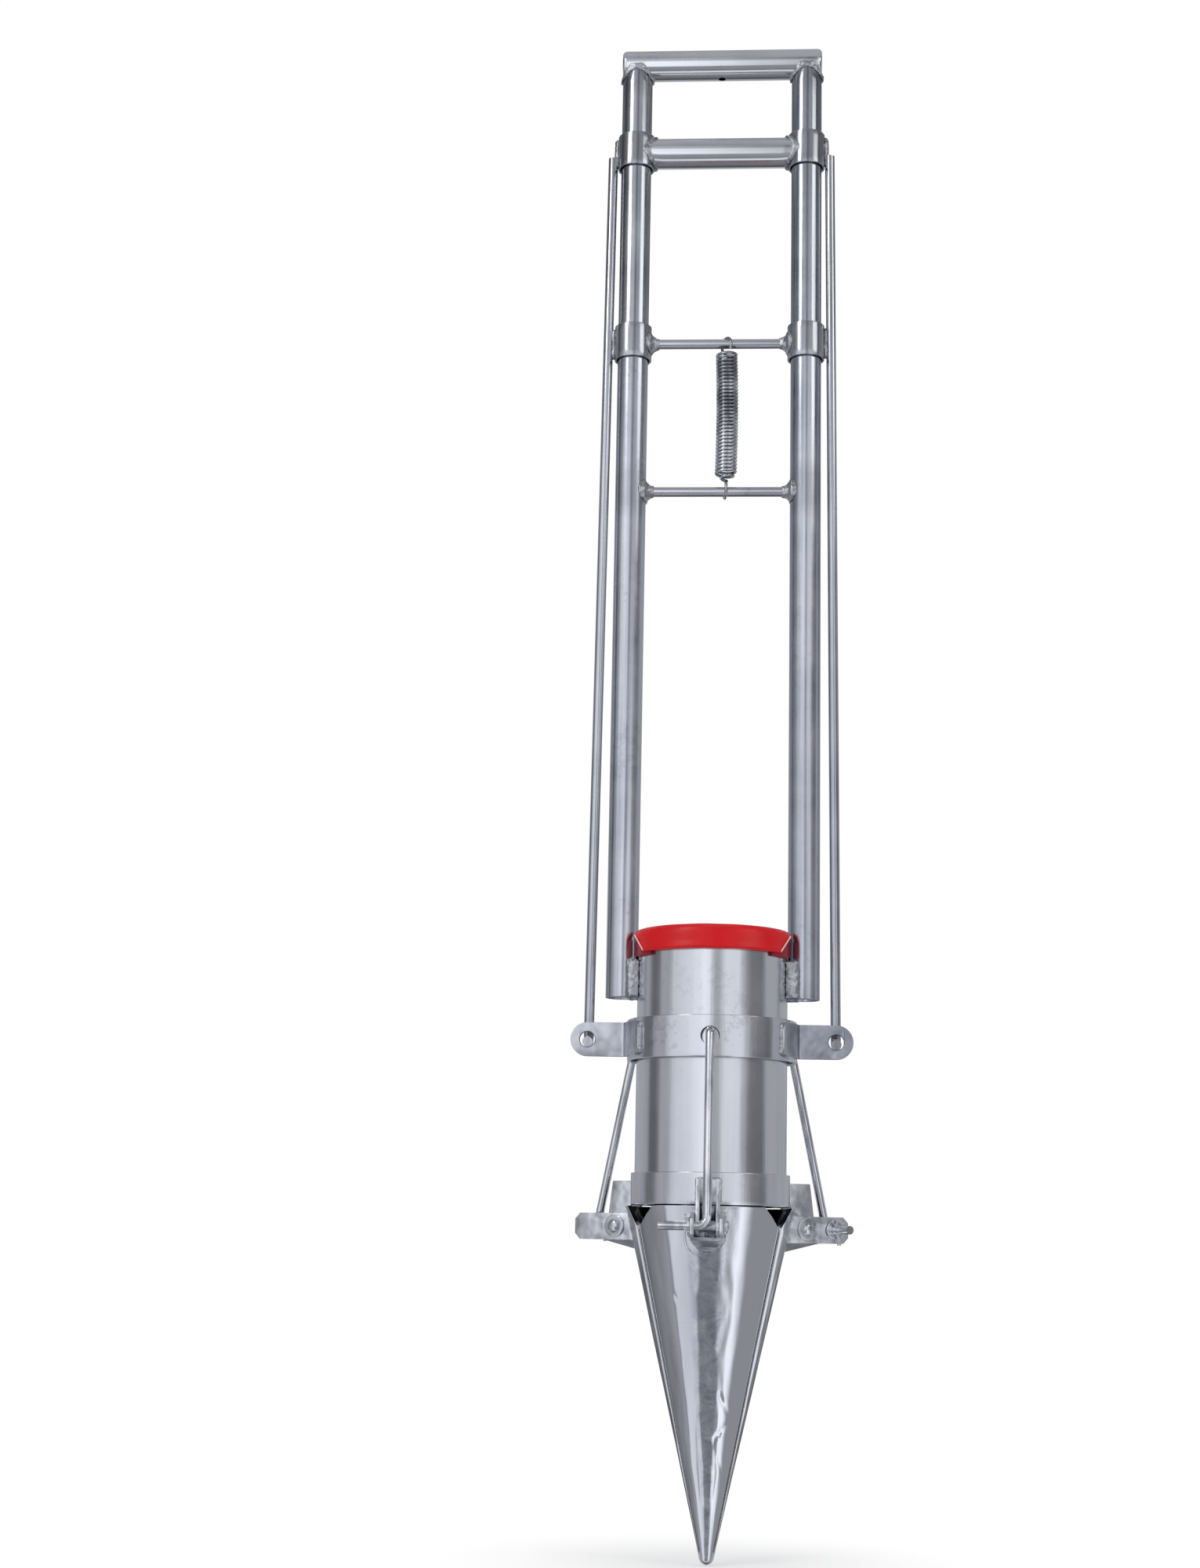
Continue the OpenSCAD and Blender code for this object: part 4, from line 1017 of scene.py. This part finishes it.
# Hinge pins and washers. Turned pins, their ends riveted over into low domes outside plain
# stamped washers, one at each side of each jaw lever.
PIN_R, PIN_HEAD_R, PIN_HEAD_X, PIN_END_X = 3.0, 4.0, 10.5, 12.5
PIN_WASHER_HOLE, PIN_WASHER_R, PIN_WASHER_X = 3.05, 6.5, 9.3
zinc_bits = metal("plated_hardware", (0.84, 0.85, 0.88), (0.54, 0.56, 0.60), 0.2, (120, 120, 120),
                  cloud=120.0, spots=0.08, brushed=0.04)
half = [(0.0, PIN_END_X), (1.5, PIN_END_X - 0.1), (2.7, PIN_END_X - 0.45), (3.6, PIN_END_X - 1.1),
        (PIN_HEAD_R, PIN_END_X - 1.7), (PIN_HEAD_R, PIN_HEAD_X), (PIN_R, PIN_HEAD_X)]
outline = [(r, -x) for r, x in half] + [(r, x) for r, x in reversed(half)]
points, faces = swept(outline, 40)
pivot = Vector((0, -PIVOT_R, PIVOT_Z))
points = [across @ p + pivot for p in points]
for side, turn in SETS:
    mesh = merged(as_mesh([turned(turn) @ p for p in points], faces))
    piece("riveted_pin_" + side, shaded(mesh, 50), zinc_bits, "frame", "plated_hardware", "hinge_pin_" + side)

washers = []
for side, turn in SETS:
    for low, high in ((-PIN_HEAD_X, -PIN_WASHER_X), (PIN_WASHER_X, PIN_HEAD_X)):
        points, faces = swept(wall(PIN_WASHER_HOLE, PIN_WASHER_R, low, high, 0.25), 44)
        washers.append(([turned(turn) @ (across @ p + pivot) for p in points], faces))
piece("pin_washers", shaded(as_mesh(*joined(washers))), zinc_bits, "frame", "plated_hardware",
      "hinge_washers")


# Jaws. Three thirds of a cone, bent from 1.9 mm sheet in a brake, so each shows faint flats, and
# polished by hand: the skin waves, and the front one is creased. Inside, the sheet is black: dark
# scale and painted shade.
JAW_TOP_Z, JAW_TOP_R, CONE = 199.3, 49.3, radians(12.99)
NOSE_R, JAW_WALL = 4.2, 1.9
HOLLOW_Z, HOLLOW_R = 7.14, 0.47
JAW_RIM, JAW_SET_IN, JAW_ROWS = 200.0, 0.12, 110
JAW_GAP_HALF = 1.2
CORNER = ((187.5, 40.2), (195.0, 36.4), (JAW_RIM, 32.6))
FLATS, FLATNESS = radians(30), 0.45
WAVE_DEEP, RIPPLE_DEEP = 0.20, 0.07
CREASES = (
    ((16, 95), (38, 80), 0.9, 0.30), ((44, 85), (12, 70), 0.9, 0.28), ((22, 60), (34, 52), 0.8, 0.18),
    ((-5, 150), (-2, 60), 2.2, 0.20), ((4, 118), (9, 66), 1.8, 0.16), ((-30, 150), (-27, 147), 1.0, 0.25),
)


def cone_r(z):
    """The jaws' outside radius at a height."""
    return JAW_TOP_R - (JAW_TOP_Z - z) * tan(CONE)


def jaw_reach(r, z):
    """Half the angle that a jaw covers: a third less the gap, cut back at the upper corners."""
    reach = radians(60) - asin(min(JAW_GAP_HALF / r, sin(radians(60))))
    for (low, wide), (high, narrow) in zip(CORNER, CORNER[1:]):
        if low < z <= high + 0.01:
            half = wide + (narrow - wide) * (z - low) / (high - low)
            reach = min(reach, asin(min(half / r, 1.0)))
    return reach


def creased(a, z, r):
    """How far the front jaw's creases, each from one angle and height to another, push its skin in."""
    push = 0.0
    for (a0, z0), (a1, z1), wide, deep in CREASES:
        ax, bx, x = (radians(v) * r for v in (a0, a1, degrees(a)))
        along = Vector((bx - ax, z1 - z0))
        t = min(max((Vector((x - ax, z - z0)) @ along) / along.length_squared, 0), 1)
        off = (Vector((x - ax, z - z0)) - along * t).length
        push += deep * exp(-(off / wide) ** 2)
    return push


def jaw_sheet(seed, crease):
    """One jaw facing the front: outer and inner skins, joined at the top and along both sides."""
    rows = [(HOLLOW_R, 0.03, 0.95, 0.11)]
    for k in range(1, 8):
        a = (pi / 2 - CONE) * k / 7
        rows.append((HOLLOW_R, 0.03 + 0.4 * k, NOSE_R * sin(a), NOSE_R - NOSE_R * cos(a)))
    for z in (4.6, 6.0, HOLLOW_Z - 0.05):
        rows.append((HOLLOW_R, z, cone_r(z), z))
    for k in range(JAW_ROWS + 1):
        z = HOLLOW_Z + (JAW_RIM - HOLLOW_Z) * k / JAW_ROWS
        rows.append((cone_r(z) - JAW_WALL, z, cone_r(z), z))
    n = len(rows)
    outline = [(row[0], row[1]) for row in rows] + [(row[2], row[3]) for row in reversed(rows)]
    caps = [(i, i + 1, 2 * n - 2 - i, 2 * n - 1 - i) for i in range(n - 1)]
    points, faces = swept(outline, 88, jaw_reach, 0.0, caps)
    for p in points:
        r, a = hypot(p.x, p.y), atan2(p.x, -p.y)
        if r < NOSE_R + 1:
            continue
        t = a % FLATS - FLATS / 2
        flat = FLATNESS * (1 - cos(FLATS / 2)) * (0.5 + 0.5 * cos(2 * pi * t / FLATS))
        ease = min((r - NOSE_R) / 12, 1)
        wave = WAVE_DEEP * noise.noise(Vector((a * 2.3, p.z * 0.022, seed)))
        wave += RIPPLE_DEEP * noise.noise(Vector((a * 9, p.z * 0.07, seed + 5)))
        step = -r * flat * ease + wave * ease - (creased(a, p.z, r) if crease else 0) - JAW_SET_IN
        p.x, p.y = p.x * (1 + step / r), p.y * (1 + step / r)
    return points, faces


JAW_TINT, GROUND_TONE, SCALE_AND_SHADE_TONE = (0.34, 0.375, 0.44, 1), (0.96, 0.96, 0.97, 1), (0.012, 0.012, 0.014, 1)


def jaw_skin(name, turn):
    """Polished sheet outside, with a cloudy tint down the middle, ground side edges, and black inside
    and on the cut edges that look up: dark scale and painted shade."""
    made = metal(name, (0.80, 0.81, 0.84), (0.60, 0.61, 0.65), 0.14, (30, 30, 2),
                 cloud=16.0, spots=0.12, brushed=0.04)
    tree = made.node_tree
    skin = next(n for n in tree.nodes if n.type == "BSDF_PRINCIPLED")
    tone, gloss = (skin.inputs[key].links[0].from_socket for key in ("Base Color", "Roughness"))
    coords = add(tree, "ShaderNodeTexCoord").outputs
    at = split_up(tree, coords["Object"])
    out = vectors(tree, "NORMALIZE", add(tree, "ShaderNodeCombineXYZ", {0: at["X"], 1: at["Y"]}).outputs[0])
    # Black inside the jaws and on the cut edges that look up: dark scale and painted shade.
    inside = ranged(tree, vectors(tree, "DOT_PRODUCT", out, coords["Normal"]), -0.3, -0.6)
    cut = ranged(tree, split_up(tree, coords["Normal"])["Z"], 0.25, 0.40)
    cloudy = ranged(tree, noisy(tree, coords["Object"], 75.0, 7.0, 0.68, 0.6), 0.40, 0.60, 0.0, 0.85)
    band = vectors(tree, "DOT_PRODUCT", out, (sin(turn), -cos(turn), 0))
    band = maths(tree, "MULTIPLY", cloudy, ranged(tree, band, 0.955, 0.99))
    edge = split_up(tree, vectors(tree, "CROSS_PRODUCT", out, coords["Normal"]))["Z"]
    ground = ranged(tree, maths(tree, "ABSOLUTE", edge), 0.85, 0.95)
    tone = mixed(tree, ground, mixed(tree, band, tone, JAW_TINT), GROUND_TONE)
    tone = mixed(tree, maths(tree, "MAXIMUM", inside, cut), tone, SCALE_AND_SHADE_TONE)
    tree.links.new(tone, skin.inputs["Base Color"])
    rougher = add(tree, "ShaderNodeMix", {0: ground, 2: gloss, 3: 0.5}).outputs[0]
    tree.links.new(rougher, skin.inputs["Roughness"])
    return made


for i, (side, turn) in enumerate(SETS):
    skin = jaw_skin("polished_jaw_" + side, radians(turn))
    points, faces = jaw_sheet(3.0 + 7 * i, side == "front")
    mesh = shaded(as_mesh([turned(turn) @ p for p in points], faces), 40)
    piece("jaw_sheet_" + side, shaded(eased(mesh, 0.3, 2, 40), 50), skin, side + "_jaw", "brushed_sheet",
          "jaw_" + side)


# Jaw levers. Channels folded from 1.9 mm plate, open at their ends and above, welded to the jaws.
# The folds are softened on a copy of the CAD lever, and a bead runs down round its narrow foot.
for side, turn in SETS:
    node = "jaw_lever_" + side
    piece("lever_channel_" + side, softened(node, 0.35), fork_zinc, side + "_jaw", "brushed_sheet", node)
LEVER_HALF, LEVER_TOP, LEVER_WEB, LEVER_FOOT = 9.2, 196.0, 180.5, 173.7
LEVER_TAPER = 5.8
for side, turn in SETS:
    run = []
    for sx in (-1, 1):
        ladder = [(LEVER_HALF, LEVER_TOP - (LEVER_TOP - LEVER_WEB) * k / 8) for k in range(9)]
        ladder += [(LEVER_HALF - LEVER_TAPER * k / 5, LEVER_WEB - (LEVER_WEB - LEVER_FOOT) * k / 5)
                   for k in range(1, 6)]
        run += [(sx * x, z) for x, z in (ladder if sx < 0 else reversed(ladder))]
    path = []
    for x, z in run:
        r = cone_r(z) - 0.1
        path.append(turned(turn) @ Vector((x, -sqrt(r * r - x * x), z)))
    seams("lever_seam_" + side, [path], 0.7, 0.7, 41 + turn, side + "_jaw")


# Links. 5 mm rods from the lift ring's holes down to the levers, hooked at both ends. The lower
# hook runs on past the lever, where a washer and a split pin keep it in.
HOOK_R = 79.0
LINK_R, LINK_LEAN, LINK_LEN = 2.5, radians(13.12), 113.25
LINK_TAIL, LINK_TOP_TAIL = 27.0, 7.6
LINK_LOW_BEND, LINK_TOP_BEND = 5.0, 4.0
link_steel = metal("link_rod", (0.90, 0.905, 0.93), (0.52, 0.53, 0.57), 0.15, (200, 200, 6),
                   spots=0.08, brushed=0.05)
inward = pi / 2 - LINK_LEAN
low_end, origin, top = Vector((-LINK_TAIL, 0, 0)), Vector((0, 0, 0)), Vector((0, 0, LINK_LEN))
top_end = top + LINK_TOP_TAIL * Vector((0, sin(inward), cos(inward)))
link_run = [low_end, *bend(origin, low_end, top, LINK_LOW_BEND),
            *bend(top, origin, top_end, LINK_TOP_BEND), top_end]
WASHER_X, SPLIT_X = -9.5, -12.0
WASHER_R, WASHER_T = 5.5, 1.2
EYE_Z, EYE_R, PIN_WIRE_R = 4.9, 1.6, 0.52
SPLIT_LEG = ((5.6, 2.3, -15.2), (3.4, 1.7, -13.6), (1.4, 1.1, -11.6), (0.4, 0.7, -9.0), (0.0, 0.5, -5.5),
             (0.0, 0.5, 3.0))


def split_run(leg):
    """The split pin's one wire: up one leg, round the eye and down the other. The legs are bent
    back under the lever, clear of its swing."""
    wire = list(leg)
    wire += [(0.0, EYE_R * sin(a), EYE_Z - EYE_R * cos(a))
             for a in (radians(22 + 316 * k / 16) for k in range(17))]
    wire += [(x * 0.6, -y, z * 1.04) for x, y, z in reversed(leg)]
    return [Vector((SPLIT_X + x, y, z)) for x, y, z in wire]


for side, turn in SETS:
    place = turned(turn) @ Matrix.Translation((0, -HOOK_R, PIVOT_Z)) @ Matrix.Rotation(-LINK_LEAN, 4, "X")
    run = [place @ p for p in divided(link_run, 20.0)]
    rod = shaded(drawn(run, LINK_R, 24))
    piece("link_rod_" + side, rod, link_steel, side + "_link", "round_rod", "link_" + side)
    points, faces = swept(wall(LINK_R + 0.12, WASHER_R, WASHER_X - WASHER_T, WASHER_X, 0.2), 40)
    points = [place @ (across @ p) for p in points]
    piece("hook_washer_" + side, shaded(as_mesh(points, faces)), zinc_bits, side + "_link", "plated_hardware",
          "link_washer_" + side)
    leg = SPLIT_LEG if side == "front" else SPLIT_LEG[3:]
    pin = shaded(drawn([place @ p for p in split_run(leg)], PIN_WIRE_R, 12))
    piece("split_pin_wire_" + side, pin, zinc_bits, side + "_link", "plated_hardware", "split_pin_" + side)
